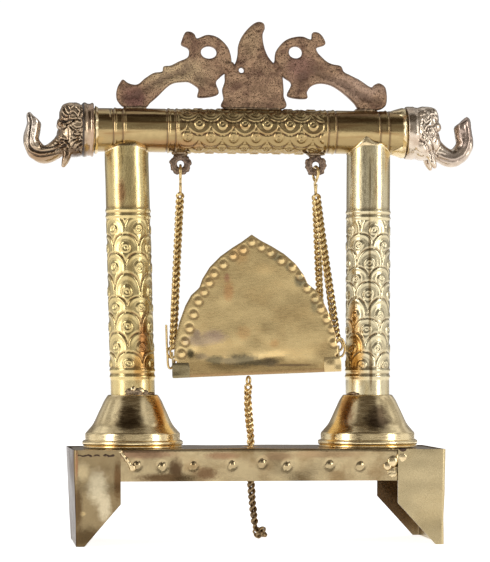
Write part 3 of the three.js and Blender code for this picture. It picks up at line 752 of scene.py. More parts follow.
# ---------------------------------------------------------------- embossed tubes
def scales(across, place, spacing, pitch):
    """Relief of rounded scales that overlap like roof tiles, with a tailed eye in each, in millimetres.

    across runs along a row. place counts rows, spacing apart; the eyes lie at whole numbers and the
    scales' round edges point to rising place.
    """
    radius = pitch / 2
    row = np.floor(place)
    height = np.zeros_like(across)
    settled = np.zeros(across.shape, bool)
    groove = np.full(across.shape, 9.0)
    for k in (0, 1):
        index = row + k
        offset = np.where(np.mod(index, 2) == 0, 0.0, radius)
        du = np.mod(across - offset + radius, pitch) - radius
        dv = (place - index) * spacing
        distance = np.hypot(du, dv)
        holds = ((dv <= 0) | (distance < radius)) & ~settled
        edge = np.where(dv > 0, radius - distance, radius - np.abs(du))
        rim = 0.32 * bump(edge - 1.0, 0.95)
        round_end = np.sqrt(np.clip(1 - (dv / 3.5) ** 2, 0, 1))
        pod_half = 3.2 * np.where(dv > 0, round_end, np.clip(1 + dv / (1.15 * radius), 0, 1) ** 0.8)
        pod = 0.3 * smoothstep(pod_half - np.abs(du), -0.4, 0.7)
        rings = ((0.3, 2.0, 0.7), (-0.26, 1.15, 0.5), (0.2, 0.0, 0.7), (-0.2, 3.0, 0.6))
        ring = sum(rise * bump(distance - at, wide) for rise, at, wide in rings)
        own = rim + pod + ring - 0.4 * bump(groove, 0.7)
        height = np.where(holds, own, height)
        settled |= holds
        groove = np.where(settled, groove, np.where(dv > 0, distance - radius, 9.0))
    return height


def stations(start, end, fine_start, fine_end, fine, coarse):
    """Places along a tube, close together where it is embossed."""
    runs = ((start, fine_start, coarse), (fine_start, fine_end, fine), (fine_end, end, coarse))
    return np.concatenate([*(np.arange(*run) for run in runs), [end]])


def tube_body(places, relief, around=216, end_of=None):
    """A tube about the Z axis with relief outside, plain inside, and how deep each point lies."""
    place, angle = np.meshgrid(places, np.arange(around) / around * TAU, indexing="ij")
    height = place if end_of is None else end_of(place, angle)
    raised, hollow_and_shade = relief(angle, place)
    radii = (TUBE_RADIUS + raised, TUBE_RADIUS - TUBE_WALL)
    points = np.vstack([xyz(radius * np.cos(angle), radius * np.sin(angle), height) for radius in radii])
    rows = len(places)
    skin = grid_faces(rows, around, wrap_columns=True)
    faces = np.vstack([skin, skin[:, ::-1] + rows * around]).tolist()
    for row, turn in ((0, 1), (rows - 1, -1)):
        first = row * around
        for k in range(around):
            quad = (first + k, first + (k + 1) % around)
            quad += (quad[1] + rows * around, quad[0] + rows * around)
            faces.append(quad[::-turn])
    return points, faces, np.concatenate([hollow_and_shade.ravel(), np.zeros(hollow_and_shade.size)])


COLUMN_BEADS = (94.9, 98.6, 187.4, 190.8)
COLUMN_ZONE = (99.8, 185.8)
COLUMN_SCALES = 5
# Heights of the rows of eyes, from the lowest; every other row starts half a scale round.
COLUMN_ROWS = {-1: [92, 102.3, 111.5, 123.5, 134.9, 143.1, 158.1, 168.8, 179.6, 191],
    1: [91, 101.8, 111.1, 122.3, 130.2, 142.8, 151.7, 160.1, 171.3, 179.5, 190.5]}
COLUMN_FIRST_ROW = -8
# How far the pattern is turned round the tube at each height.
COLUMN_TURN_HEIGHTS = [101, 122, 143, 161, 180]
COLUMN_TURN = {-1: [4, 5, 4, 5, 5], 1: [18, 4.5, 0.5, -2.5, -15]}
wander = Grain(3)


def uneven(points, size, shift):
    """Three noises, one along each axis, that move a skin's points about."""
    return np.column_stack([wander(points + shift(k), size) for k in range(3)])


def dent(angle, place, shift, size):
    """Noise over a tube's wall."""
    return wander(xyz(12 * np.cos(angle), 12 * np.sin(angle), place) + shift, size).reshape(place.shape)


def column_drift(side, z):
    """The left column leans: its foot stands further in than its top. The right one nearly stands."""
    return np.interp(z, [86, 225], [0.8, -3.2] if side < 0 else [-0.7, 0.2])


def column_edge(side, x, y):
    """Height of a column's coped top edge at a point of its wall, from the column's middle."""
    bend = BEAM_Z - np.sqrt((TUBE_RADIUS + 0.3) ** 2 - y**2)
    flat, flat_half, slope = (227.6, 4.8, 0.36) if side < 0 else (229.6, 5.2, 0.48)
    return np.minimum(bend, flat - slope * np.maximum(np.abs(x) - flat_half, 0))


def column(side, name, material):
    rows = COLUMN_ROWS[side]

    def relief(angle, z):
        turn = np.radians(133 + np.interp(z, COLUMN_TURN_HEIGHTS, COLUMN_TURN[side]))
        arc = (angle + turn) * TUBE_RADIUS
        pitch = TAU * TUBE_RADIUS / COLUMN_SCALES
        place = np.interp(z, rows, COLUMN_FIRST_ROW + np.arange(len(rows)))
        pattern = scales(arc, place, np.mean(np.diff(rows)), pitch)
        zone = smoothstep(z, COLUMN_ZONE[0], COLUMN_ZONE[0] + 1) * smoothstep(z, COLUMN_ZONE[1],
            COLUMN_ZONE[1] - 1)
        beads = sum(0.5 * bump(z - bead, 0.95) for bead in COLUMN_BEADS) - 0.18 * bump(z - 221.8, 0.5)
        dents = dent(angle, z, side * 50, 13) * 0.1
        hollow_and_shade = zone * smoothstep(pattern, 0.02, -0.3) + 0.5 * sum(bump(z - bead - 1.7, 0.6) for bead
            in COLUMN_BEADS)
        return (pattern - 0.1) * zone + beads + dents, hollow_and_shade

    def coped(z, angle):
        top = column_edge(side, TUBE_RADIUS * np.cos(angle), TUBE_RADIUS * np.sin(angle))
        start = 220.0
        return np.where(z > start, start + (z - start) * (top - start) / (COLUMN_TOP - start), z)

    foot = low(name)[2]
    places = stations(foot, COLUMN_TOP, 92.5, 193, 0.38, 1.4)
    points, faces, hollow_and_shade = tube_body(places, relief, end_of=coped)
    points[:, 0] += side * COLUMN_X + column_drift(side, points[:, 2])
    mesh(f"{name}_tube", (points, faces), material, "frame", [name], 60, hollow_and_shade=hollow_and_shade)


BEAM_BEADS = (43.4, 48.2, 73.8, 79.2)
BEAM_ZONE = 42.0
BEAM_ROWS = 10
BEAM_PITCH = 13.4


def crossbeam():
    def relief(angle, x):
        spacing = TAU * TUBE_RADIUS / BEAM_ROWS
        place = (angle * TUBE_RADIUS + 3.1) / spacing + 0.03 * np.sin(x / 9)
        pattern = scales(x + 31.4 + 0.5 * np.sin(x / 17), place, spacing, BEAM_PITCH)
        zone = smoothstep(BEAM_ZONE - np.abs(x), 0, 1)
        beads = sum(0.45 * bump(np.abs(x) - bead, 0.6) for bead in BEAM_BEADS)
        dents = dent(angle, x, 300, 12) * 0.12
        beads -= 0.3 * sum(bump(np.abs(x) - bead - 1.1, 0.5) for bead in BEAM_BEADS)
        hollow_and_shade = zone * smoothstep(pattern, 0.02, -0.3)
        hollow_and_shade += 0.8 * sum(bump(np.abs(x) - bead - 1.1, 0.6) for bead in BEAM_BEADS)
        return 1.15 * pattern * zone + beads + dents, np.minimum(hollow_and_shade, 1)

    places = stations(-BEAM_HALF, BEAM_HALF, -82, 82, 0.4, 1.0)
    points, faces, hollow_and_shade = tube_body(places, relief)
    turned = xyz(points[:, 2], -points[:, 0], -points[:, 1])
    turned[:, 2] += BEAM_Z
    mesh("crossbeam_tube", (turned, faces), BEAM_BRASS, "frame", ["crossbeam"], 60,
        hollow_and_shade=hollow_and_shade)


column(-1, "left_column", COLUMN_LEFT)
column(1, "right_column", COLUMN_RIGHT)
crossbeam()


# ---------------------------------------------------------------- bell-shaped feet
def turned_body(profile, around=128):
    """A closed profile of (radius, z) points turned about the Z axis."""
    profile = np.asarray(profile, float)
    angles = np.arange(around) / around * TAU
    radius = profile[:, 0][:, None]
    points = xyz(radius * np.cos(angles), radius * np.sin(angles), profile[:, 1][:, None])
    return points, grid_faces(len(profile), around, wrap_rows=True, wrap_columns=True)[:, ::-1]


def bell_foot(side, name):
    base = low(name)[2]
    flare = curve_through([(14.5, FOOT_TOP - 0.3), (16.4, 81.2), (19.2, 75.4), (22.6, 68.2),
        (25.2, 64.8), (27.0, 62.8)], 0.9)
    rim = [(28.2 + 0.9 * np.cos(a), 57.0 + 1.35 * np.sin(a)) for a
        in np.linspace(np.pi * 0.45, -np.pi * 0.45, 9)]
    outside = [(13.1, FOOT_TOP - 0.1), (13.9, FOOT_TOP), *flare, (27.3, 62.3), (27.45, 61.6),
        (27.4, 59.2), (27.5, 58.6), *rim, (28.0, 55.5), (28.6, 55.2), (28.7, base + 0.4), (28.4, base)]
    inside_line = [(26.4, base), (26.2, 61.5), (24, 64.5), (20.6, 70), (17.4, 76.6), (13.1, 83.2)]
    points, faces = turned_body([*outside, *inside_line][::-1])
    points += uneven(points, 16, lambda k: np.array([side * 40, 7.0, 3.0]) * (k + 1)) * 0.12
    points[:, 0] += side * COLUMN_X + column_drift(side, 60)
    mesh(f"{name}_shell", (points, faces), FOOT_BRASS, "frame", [name], crease=50)


for side, hand in SIDES:
    bell_foot(side, f"{hand}_bell_foot")


# ---------------------------------------------------------------- solder
def lump(centre, radii, seed, detail=(28, 18), rough=0.16):
    """An uneven blob of solder."""
    across, up = detail
    angles = np.arange(across) / across * TAU
    heights = np.linspace(-np.pi / 2, np.pi / 2, up)
    h, a = np.meshgrid(heights, angles, indexing="ij")
    unit = xyz(np.cos(h) * np.cos(a), np.cos(h) * np.sin(a), np.sin(h))
    swell = 1 + rough * (wander(unit + seed * 3.7, 0.8) + 0.5 * wander(unit + seed * 1.9, 0.33))
    return np.asarray(centre) + unit * swell[:, None] * np.asarray(radii), grid_faces(up, across,
        wrap_columns=True)


def solder_bead(path, radius, seed, sides=12):
    """A run of solder along a seam, uneven in thickness."""
    path = curve_through(path, 0.35)
    swell = 1 + 0.35 * wander(path + seed * 5.3, 1.7) + 0.25 * wander(path + seed * 9.1, 0.8)
    ends = np.minimum(np.arange(len(path)), np.arange(len(path))[::-1]) / 4
    return sweep(path, radius * swell * np.clip(0.35 + ends, 0, 1), sides)


def saddle(side, face):
    """The solder that fills the mouth between a column's top and the side of the beam."""
    angle = np.linspace(-np.pi / 2, np.pi / 2, 49)[3:-3]
    rise = np.linspace(0, 1, 13)
    a, v = np.meshgrid(angle, rise, indexing="ij")
    x = TUBE_RADIUS * np.sin(a)
    y = TUBE_RADIUS * np.cos(a)
    on_beam = BEAM_Z - np.sqrt(np.maximum((TUBE_RADIUS + 0.1) ** 2 - y**2, 0))
    edge = column_edge(side, x, y) - 0.4
    peak = 3.0 * bump(x + 3.4, 4.0) if side > 0 else 0.8 * bump(x - 2, 5.0)
    top = np.maximum(np.minimum(on_beam, edge + 2.0 + peak), edge + 0.5) + 0.4
    beam_y = np.sqrt(np.maximum(TUBE_RADIUS**2 - (top - BEAM_Z) ** 2, 0))
    z = edge + (top - edge) * v
    swell = 0.55 * np.sin(np.pi * v) ** 0.7
    depth = (y + 0.05) * (1 - v) + (beam_y - 0.1) * v + swell
    skin = xyz(x, depth, z)
    skin += 0.16 * np.sin(np.pi * v).reshape(-1, 1) * uneven(skin, 2.6, lambda k: k * 23 + side * 9)
    rear = skin * (0.93, 1, 1) - (0, 2.2, 0)
    points, faces = close_between(skin, rear, halved(grid_faces(len(angle), len(rise))))
    middle_x = side * COLUMN_X + column_drift(side, 226)
    return points * (1, face, 1) + (middle_x, 0, 0), faces


# Blobs round the left foot's neck: turn in degrees, height over the neck, size.
NECK_BLOBS = [(-100, 1.6, 1.3), (-92, 3.2, 0.9), (-84, 1.4, 1.5), (-72, 2.2, 1.2), (-62, 1.0, 1.3)]
NECK_SEAM = {-1: (-112, -20), 1: (-165, -120)}
PLAQUE_SEAMS = [
    (0.7, 7, [(-15, -2.6, 251), (-8, -3, 250.9), (0, -2.9, 251), (9, -3, 250.8), (17, -2.7, 251)]),
    (0.8, 8, [(-15, 2.6, 251), (-4, 3, 250.9), (6, 2.9, 250.8), (17, 2.7, 251)])]
# Blobs where the brackets meet the plaque: place, radii, seed.
CREST_BLOBS = [((-12.6, -1.4, 275.2), (3.0, 2.3, 3.1), 11), ((-14.4, -1.2, 272.6), (2.0, 1.8, 2.2), 12),
    ((14.6, -1.6, 276.4), (2.1, 2.0, 3.0), 13), ((17.2, -1.3, 273.4), (2.2, 1.8, 3.6), 14)]


def solder_on_frame():
    dark, pale = [], []
    neck, under_beam = FOOT_TOP + 0.4, BEAM_Z - TUBE_RADIUS
    for side, hand in SIDES:
        pale += [saddle(side, face) for face in (-1, 1)]
        centre = side * COLUMN_X + column_drift(side, 84)
        arc = np.radians(np.linspace(*NECK_SEAM[side], 12))
        ring = xyz(centre + 13.0 * np.cos(arc), 13.0 * np.sin(arc), neck + np.sin(arc * 7) * 0.4)
        dark.append(solder_bead(ring, 0.8, side * 3))
        for k, (turn, rise, size) in enumerate(NECK_BLOBS if side < 0 else []):
            a = np.radians(turn)
            place = (centre + 12.9 * np.cos(a), 12.9 * np.sin(a), neck + rise)
            blob = lump(place, (size * 1.7, 1.0, size * 1.3), 40 + k, rough=0.35)
            (pale if k % 2 else dark).append(blob)
        x = LUG_X[hand]
        dark.append(lump((x, 0, under_beam - 0.3), (5.0, 2.6, 1.5), side * 5))
        dark.append(lump((x - side * 1.5, 0.6, under_beam - 1.2), (2.6, 1.9, 1.3), side * 6))
    dark += [solder_bead(seam, radius, seed) for radius, seed, seam in PLAQUE_SEAMS]
    for side in (-1, 1):
        for y in (-2.3, 2.3):
            seam = [(side * 61, y, 250.6), (side * 66, y * 1.2, 250.8), (side * 73, y, 250.7)]
            dark.append(solder_bead(seam, 0.9, side + y))
    mesh("solder_runs_dark", join(dark), SOLDER, "frame", joined=True)
    mesh("solder_saddles", join(pale), SEAM, "frame", joined=True)
    blobs = [lump(place, radii, seed, rough=0.2) for place, radii, seed in CREST_BLOBS]
    mesh("solder_on_crest", join(blobs), CAST_BRONZE, "frame", joined=True)


# ---------------------------------------------------------------- the crest
LEFT_BRACKET = [(-74.6, 267.1), (-71.2, 265), (-66.3, 264.4), (-61.5, 268.2), (-56.7, 271.2),
    (-51.8, 272.2), (-50.9, 275.1), (-46.9, 275.7), (-42.1, 278.1), (-37.3, 280.4), (-36, 283.4),
    (-36.8, 285.9), (-40.6, 288), (-40.1, 291.3), (-38.3, 295.2), (-35.4, 295.6), (-33, 294.2),
    (-31.5, 291.8), (-26.6, 293.7), (-22.7, 293.7), (-18.9, 292.2), (-15, 288.8), (-12.6, 284.9),
    (-11.4, 279.5), (-11.6, 275.4), (-14.9, 271.9), (-17.9, 269.3), (-20.4, 265.9), (-19.3, 259.2),
    (-30.5, 257.2), (-30.5, 262), (-32.5, 264.1), (-36.3, 266.2), (-40.2, 266.2), (-45, 265.5),
    (-48.9, 263.1), (-54.7, 257.3), (-58.6, 253.9), (-62, 250.9), (-73, 250.9), (-77.4, 254.4),
    (-78.4, 258.3), (-77.9, 262.1), (-76.5, 265)]
RIGHT_BRACKET = [(21.7, 258.7), (32.5, 257.3), (33, 261.1), (35.4, 264.5), (39.3, 266.2), (44.1, 266.2),
    (49, 264.5), (54.8, 260.6), (60.6, 255.3), (64.6, 250.9), (74, 250.9), (78.8, 252.9), (80.2, 257),
    (79.4, 264.1), (75.9, 266.8), (73, 266), (70.6, 264.5), (64.4, 268.4), (58.6, 271.3), (54.8, 273.3),
    (52.9, 276.7), (48.1, 277.7), (44.2, 279.6), (39.4, 284.4), (38.9, 287.3), (43.7, 289.3),
    (42.7, 293.2), (39.8, 296.1), (36.4, 296.1), (35.4, 292.2), (30.6, 293.7), (25.8, 293.4),
    (20.9, 291.7), (17.1, 288.3), (14.7, 284.4), (14.2, 279.6), (15, 275.6), (19, 270), (23.8, 266)]
PLAQUE = [(-14.6, 250.9), (-15.9, 257.2), (-16.6, 262), (-15.2, 266.8), (-15.1, 271.2), (-13.1, 273.2),
    (-9.2, 277.5), (-7.7, 282.4), (-7.2, 288.2), (-4.8, 294), (-0.2, 299.4), (3.9, 301.9), (7.2, 301.3),
    (8.2, 298.4), (6.9, 294), (7.8, 287.3), (10.2, 281.5), (13.7, 277.6), (16.8, 276.6), (18.2, 271.7),
    (18.9, 267), (19.2, 259.1), (18.2, 250.9)]


def circle(x, z, rx, rz, count=28):
    a = np.arange(count) / count * TAU
    return np.column_stack([x + rx * np.cos(a), z + rz * np.sin(a)])


def plate(points, rear, front, faces):
    """A closed flat body over (x, z) points, from the y of its rear to the y of its front."""
    x, z = points.T
    return close_between(xyz(x, rear, z), xyz(x, front, z), faces)


def casting(name, outline, holes, rear, front, node, thickness=5.0, cell=0.62):
    """A flat casting with rounded edges; rear and front give the relief at (x, z) points."""
    outline = resample(curve_through(outline, 0.6, closed=True), 0.6, closed=True)
    points, faces, loops = flat_region(outline, holes, cell)
    edge = distance_to_lines(points, loops)
    rounding = 0.95 * (1 - np.sqrt(np.clip(1 - (1 - np.clip(edge / 1.5, 0, 1)) ** 2, 0, 1)))
    spread = xyz(points[:, 0], 0.0, points[:, 1])
    grain = 0.16 * wander(spread, 1.1) + 0.1 * wander(spread + 60, 0.62) + 0.22 * wander(spread + 90,
        3.4)
    rear_y = -thickness / 2 + rounding - rear(points) - grain
    front_y = thickness / 2 - rounding + front(points) + 0.6 * grain
    depth = smoothstep(grain + rear(points), -0.1, -0.8) * 0.6 + 0.3 * smoothstep(edge, 1.2, 0.2)
    hollow_and_shade = np.concatenate([depth, 0.7 * smoothstep(front(points), 0.25, 0.0)])
    body = plate(points, rear_y, front_y, faces)
    mesh(name, body, CAST_BRONZE, "frame", [node], crease=70, hollow_and_shade=hollow_and_shade)


def near(points, x, z, width):
    return bump(np.hypot(points[:, 0] - x, points[:, 1] - z), width)


def tail_line(side):
    return [(side * 74, 257), (side * 67, 258.5), (side * 58, 264), (side * 48, 269.5), (side * 40, 272)]


def bracket_rear(side):
    def relief(points):
        height = -0.75 * bump(distance_to_lines(points, [curve_through(tail_line(side), 1.5)]), 2.6)
        for deep, x, z, wide in ((0.5, 76, 262, 3), (-0.7, 37, 276, 4.5), (-0.8, 30, 270, 4.5),
                (0.35, 25, 274, 4)):
            height += deep * near(points, side * x, z, wide)
        return height

    return relief


def bracket_front(side):
    def relief(points):
        x = points[:, 0] * side
        z = points[:, 1]
        along_tail = x * 0.82 - z * 0.57
        across_tail = x * 0.57 + z * 0.82
        quills = 0.35 * np.abs(np.sin((across_tail + 0.04 * (along_tail - 20) ** 2) * 1.05))
        feathers = 0.32 * np.abs(np.sin(along_tail * 0.9 + 0.8 * np.sin(across_tail * 0.9)))
        body = smoothstep(x, 34, 42)
        eye = near(points, side * 25.5, 283.4, 6.2)
        rings = 0.35 * bump(np.abs(np.hypot(x - 25.5, z - 283.4) - 6.3), 0.55)
        return quills * body + feathers * (1 - body) * (z < 277) + 0.4 * eye + rings

    return relief


def plaque_rear(points):
    ridge = distance_to_lines(points, [[(4.6, 297), (3.4, 291), (1.6, 285), (-0.5, 279)]])
    crater = np.hypot(points[:, 0] - 4.4, points[:, 1] - 297.3)
    height = 0.75 * bump(ridge, 2.0) + 0.8 * bump(crater - 2.0, 0.9) - 0.5 * bump(crater, 1.2)
    for deep, x, z, wide in ((-0.6, -2.2, 287, 2.8), (-0.5, 5, 283, 3), (0.35, -11, 262, 4),
            (-0.35, 6, 262, 6)):
        height += deep * near(points, x, z, wide)
    return height + 0.5 * smoothstep(points[:, 1], 255, 251)


def plaque_front(points):
    x, z = points[:, 0] - 1.5, points[:, 1]
    height = np.zeros(len(points))
    for size, base in ((1.0, 252), (0.68, 254), (0.38, 257)):
        half = 15 * size * np.clip(1 - ((z - base) / (46 * size)), 0, 1) ** 0.75
        height += 0.5 * smoothstep(half - np.abs(x), -0.2, 0.9) * (z > base)
    height += 0.35 * np.abs(np.sin(np.abs(x) * 1.3 + z * 0.55)) * (np.abs(x) > 4)
    height += 0.9 * near(points, 1.5, 266, 2.6)
    return height


def lug(side, hand):
    x, z = LUG_X[hand], middle(f"{hand}_lug")[2] - 0.2
    angles = np.linspace(0, TAU, 90, endpoint=False)
    radius = 6.2 + 0.28 * np.cos(angles * 9 + side) + 0.25 * np.sin(angles * 5) + 0.15 * np.cos(angles
        * 17)
    rim = np.column_stack([x + radius * np.cos(angles), z + radius * np.sin(angles)])
    rim[:, 1] = np.minimum(rim[:, 1], BEAM_Z - TUBE_RADIUS - 0.2)
    points, faces, loops = flat_region(rim, [circle(x, z, 2.1, 2.1, 24)], 0.55)
    rounding = 0.6 * (1 - smoothstep(distance_to_lines(points, loops), 0, 1.2))
    spread = xyz(points[:, 0], side * 9.0, points[:, 1])
    grain = 0.14 * wander(spread, 0.9) + 0.16 * wander(spread, 2.0)
    body = plate(points, -1.35 + rounding - grain, 1.35 - rounding + grain, faces)
    mesh(f"{hand}_cast_lug", body, LUG_BRONZE, "frame", [f"{hand}_lug"], crease=70)


def crest():
    outlines = {"left": (LEFT_BRACKET, circle(-24.6, 283.7, 4.7, 3.7)),
        "right": (RIGHT_BRACKET, circle(26.3, 284.4, 4.0, 3.6))}
    for side, hand in SIDES:
        outline, eye = outlines[hand]
        node = f"{hand}_peacock_bracket"
        casting(f"{hand}_peacock", outline, [eye], bracket_rear(side), bracket_front(side), node)
    casting("plaque", PLAQUE, [circle(-5.5, 273.5, 1.65, 1.65, 18)], plaque_rear, plaque_front,
        "crest_plaque")
    for side, hand in SIDES:
        lug(side, hand)


# ---------------------------------------------------------------- elephant heads
def superellipsoid(centre, radii, power=2.6, detail=(40, 28)):
    across, up = detail
    a, h = np.meshgrid(np.arange(across) / across * TAU, np.linspace(-np.pi / 2, np.pi / 2, up))

    def curve(value):
        return np.sign(value) * np.abs(value) ** (2 / power)

    unit = xyz(curve(np.cos(h)) * curve(np.cos(a)), curve(np.cos(h)) * curve(np.sin(a)),
        curve(np.sin(h)))
    return np.asarray(centre) + unit * np.asarray(radii), grid_faces(up, across, wrap_columns=True)


def turned_on_beam(profile, around=96):
    """A closed (radius, x) profile turned about the beam's axis."""
    points, faces = turned_body(profile, around)
    return xyz(points[:, 2], points[:, 1], points[:, 0] + BEAM_Z), faces


def remeshed(body, cell, smooth):
    """One skin round a pile of overlapping bodies."""
    points, faces = body
    data = bpy.data.meshes.new("lump")
    data.from_pydata((np.asarray(points) * MM).tolist(), [], [tuple(map(int, f)) for f in faces])
    obj = bpy.data.objects.new("lump", data)
    bpy.context.collection.objects.link(obj)
    modifier = obj.modifiers.new("skin", "REMESH")
    modifier.mode = "VOXEL"
    modifier.voxel_size = cell * MM
    smoother = obj.modifiers.new("smooth", "SMOOTH")
    smoother.factor = 0.5
    smoother.iterations = smooth
    skin = obj.evaluated_get(bpy.context.evaluated_depsgraph_get()).data
    count = len(skin.vertices)
    flat = np.empty(count * 3)
    skin.vertices.foreach_get("co", flat)
    polygons = [tuple(p.vertices) for p in skin.polygons]
    bpy.data.objects.remove(obj)
    bpy.data.meshes.remove(data)
    return flat.reshape(-1, 3) / MM, polygons


def polygon_normals(points, polygons):
    normals = np.zeros_like(points)
    quads = np.array(polygons)
    a, b, c, d = (points[quads[:, k]] for k in range(4))
    per_face = np.cross(c - a, d - b)
    for k in range(4):
        np.add.at(normals, quads[:, k], per_face)
    return normals / np.maximum(np.linalg.norm(normals, axis=1), 1e-12)[:, None]


TRUNK = [(103, 0, 238), (106.6, 0, 231.6), (111, 0, 226.9), (117.5, 0, 223.2), (123, 0, 225.2),
    (126.6, 0, 231), (126, 0, 237.5), (125.4, 0, 243), (126.4, 0, 250)]

# Lines cut into the side of a head, drawn as if it looked towards +X: (depth, width, points).
RIGHT_CUTS = [(0.9, 0.5, [(110.8, 243.4), (108.2, 242.4), (105.8, 240.8), (102.6, 240.2), (101.2, 238)]),
    (0.6, 0.45, [(106, 240.2), (107.4, 237.8), (105.4, 234.4), (103.6, 234.6)]),
    (0.5, 0.4, [(103.4, 240), (102.4, 237.4), (104, 235), (105.2, 237.2), (104.6, 239.4)]),
    (0.45, 0.5, [(106.8, 239), (109.4, 236.6), (110.9, 234.6)]),
    (0.9, 0.55, [(97.4, 232.6), (100.2, 231), (103, 227.8), (105, 224.4), (105.4, 221)]),
    (0.8, 0.5, [(103, 233.8), (105, 231.2), (106, 228), (107.2, 225.6), (109.6, 224)]),
    (0.5, 0.45, [(100, 229.8), (101.4, 227.4), (103.4, 226)]),
    (0.5, 0.4, [(107, 229), (108.6, 226.4), (112.6, 225)]),
    (0.7, 0.5, [(98, 250.6), (100.4, 248.8), (103, 250.4), (105.6, 249.2)]),
    (0.6, 0.4, [(100, 247), (102.4, 244.6), (104.6, 247.4), (107.4, 245.2)]),
    (0.6, 0.4, [(99, 244), (101.2, 242), (103.6, 243.8)]),
    (0.6, 0.4, [(106, 251), (107.6, 248.4), (109.4, 247)]),
    (0.5, 0.45, [(98.4, 240), (99.6, 237), (98.6, 234.6)]),
    (0.55, 0.7, [(109.6, 223.4), (114.6, 221.6), (120.4, 221.3), (125.4, 223.8), (127.9, 227.5),
    (130, 234.2)]),
    (0.3, 0.9, [(112.1, 225), (120.4, 224.2), (126.2, 230), (127.1, 236.6), (126.2, 243)]),
    (0.6, 0.4, [(98.6, 246.6), (99.8, 244), (98.8, 241.6)]),
    (0.6, 0.4, [(99, 236), (101, 233.4), (99.4, 230)]),
    (0.7, 0.5, [(105.6, 247.8), (108.6, 246.8), (110, 244.6), (107.8, 243.8)])]
LEFT_CUTS = [(1.0, 0.6, [(109.6, 242), (106.8, 241.2), (104, 242), (101.8, 241.4)]),
    (0.6, 0.45, [(109.4, 240), (107.6, 241), (106, 238.6), (108, 236.8), (109.6, 238)]),
    (0.8, 0.45, [(106.2, 239.2), (103.6, 240.2), (101.4, 242.2), (98, 241.8)]),
    (0.7, 0.4, [(104.4, 238.2), (102.4, 236.4), (100.4, 235.6), (102.4, 234), (100, 232.8),
    (98, 233.6)]), (0.6, 0.4, [(102.6, 238.6), (100.6, 237), (98.4, 237.4), (99, 235.4), (97.4, 234.6)]),
    (0.6, 0.4, [(103.4, 231.8), (101.6, 230.6), (99, 231.4), (97.4, 230)]),
    (0.8, 0.5, [(111.2, 230.2), (108.4, 230.9), (105.8, 229.6), (104.2, 226.8)]),
    (0.7, 0.45, [(112.6, 228.6), (109, 229), (106.6, 227.6), (105.2, 225.6)]),
    (0.7, 0.45, [(104.4, 228), (103.2, 230), (101.4, 230.6)]),
    (0.7, 0.45, [(102.8, 226.4), (101, 228.8), (98.8, 229.8), (96.8, 229.8)]),
    (0.6, 0.45, [(100.8, 224.6), (99.2, 227), (97, 228)]),
    (0.7, 0.45, [(106, 250.8), (104, 248), (101.8, 249.6), (99.4, 247.2)]),
    (0.7, 0.45, [(108, 250), (106.6, 246.6), (104.6, 245.2), (102.4, 246.4), (100, 244)]),
    (0.6, 0.45, [(109.2, 246.6), (107.4, 244.2), (105, 243.6)]),
    (0.6, 0.45, [(98.4, 250.4), (97.6, 247.6), (98.8, 244.6)]),
    (0.75, 0.65, [(105.3, 228.4), (111.9, 225.5), (120.2, 224.3), (125.2, 225.6), (127.7, 229.2),
    (127.3, 235.9), (127.7, 240.9), (128.4, 247.1)]),
    (0.6, 0.5, [(105.3, 230.4), (111.9, 228), (118.2, 226.9), (121.2, 228.6)]),
    (0.5, 0.5, [(107.7, 225.1), (113.5, 223.0), (121.9, 221.8), (127.7, 224.6), (130.4, 229)]),
    (0.6, 0.4, [(98, 233), (96.6, 230), (98.4, 227.4)]),
    (0.6, 0.4, [(97.4, 243.6), (96.4, 240.4), (97.6, 237.6)]),
    (0.6, 0.4, [(99.6, 226.4), (98, 224.2), (96.6, 223)])]


CUTS = {-1: LEFT_CUTS, 1: RIGHT_CUTS}
CUT_DEPTH = {-1: 1.0, 1: 0.75}
EYE = {-1: (107.6, 239.0), 1: (104.2, 237.2)}
# Profiles of the collar and of the solder at its mouth, as (radius, x).
COLLAR = {-1: [(13.1, 90.2), (15.0, 90.2), (15.7, 90.5), (15.7, 91.3), (15.3, 91.8), (15.0, 92.4),
    (15.1, 93.8), (15.4, 94.4), (15.9, 94.9), (15.9, 96.0), (15.2, 96.8)],
    1: [(13.1, 91.0), (14.9, 91.0), (15.5, 91.4), (15.6, 94.6), (15.7, 95.6), (15.3, 96.2), (14.8, 96.6),
    (15.2, 97.2), (15.0, 98.0)]}
COLLAR_SOLDER = {-1: [(12.85, 89.0), (13.1, 89.2), (13.6, 89.9), (14.0, 90.6), (13.1, 91.0),
    (12.85, 90.2)], 1: [(12.85, 82.6), (13.1, 83.2), (13.7, 85.6), (14.7, 89.2), (14.6, 90.2),
    (13.1, 90.4), (12.85, 87)]}
# The lumps of a head: centre, radii, squareness.
HEAD_LUMPS = [((102.2, 0, 238.6), (7.6, 12.6, 14.6), 3.0), ((104, 5.2, 245.2), (6.0, 6.2, 7.6), 2.4),
    ((104, -5.2, 245.2), (6.0, 6.2, 7.6), 2.4), ((105.5, 0, 232.5), (6.2, 8.6, 8.6), 2.4),
    ((102, 0, 227), (7.0, 9.6, 5.2), 2.6)]
TRUNK_TIP = np.array([120.6, 0, 243.6])
TRUNK_UP = np.array([-0.46, 0, 0.888])
TRUNK_START = 112
HEAD_BACK = 97
HEAD_SHIFT = -1.3


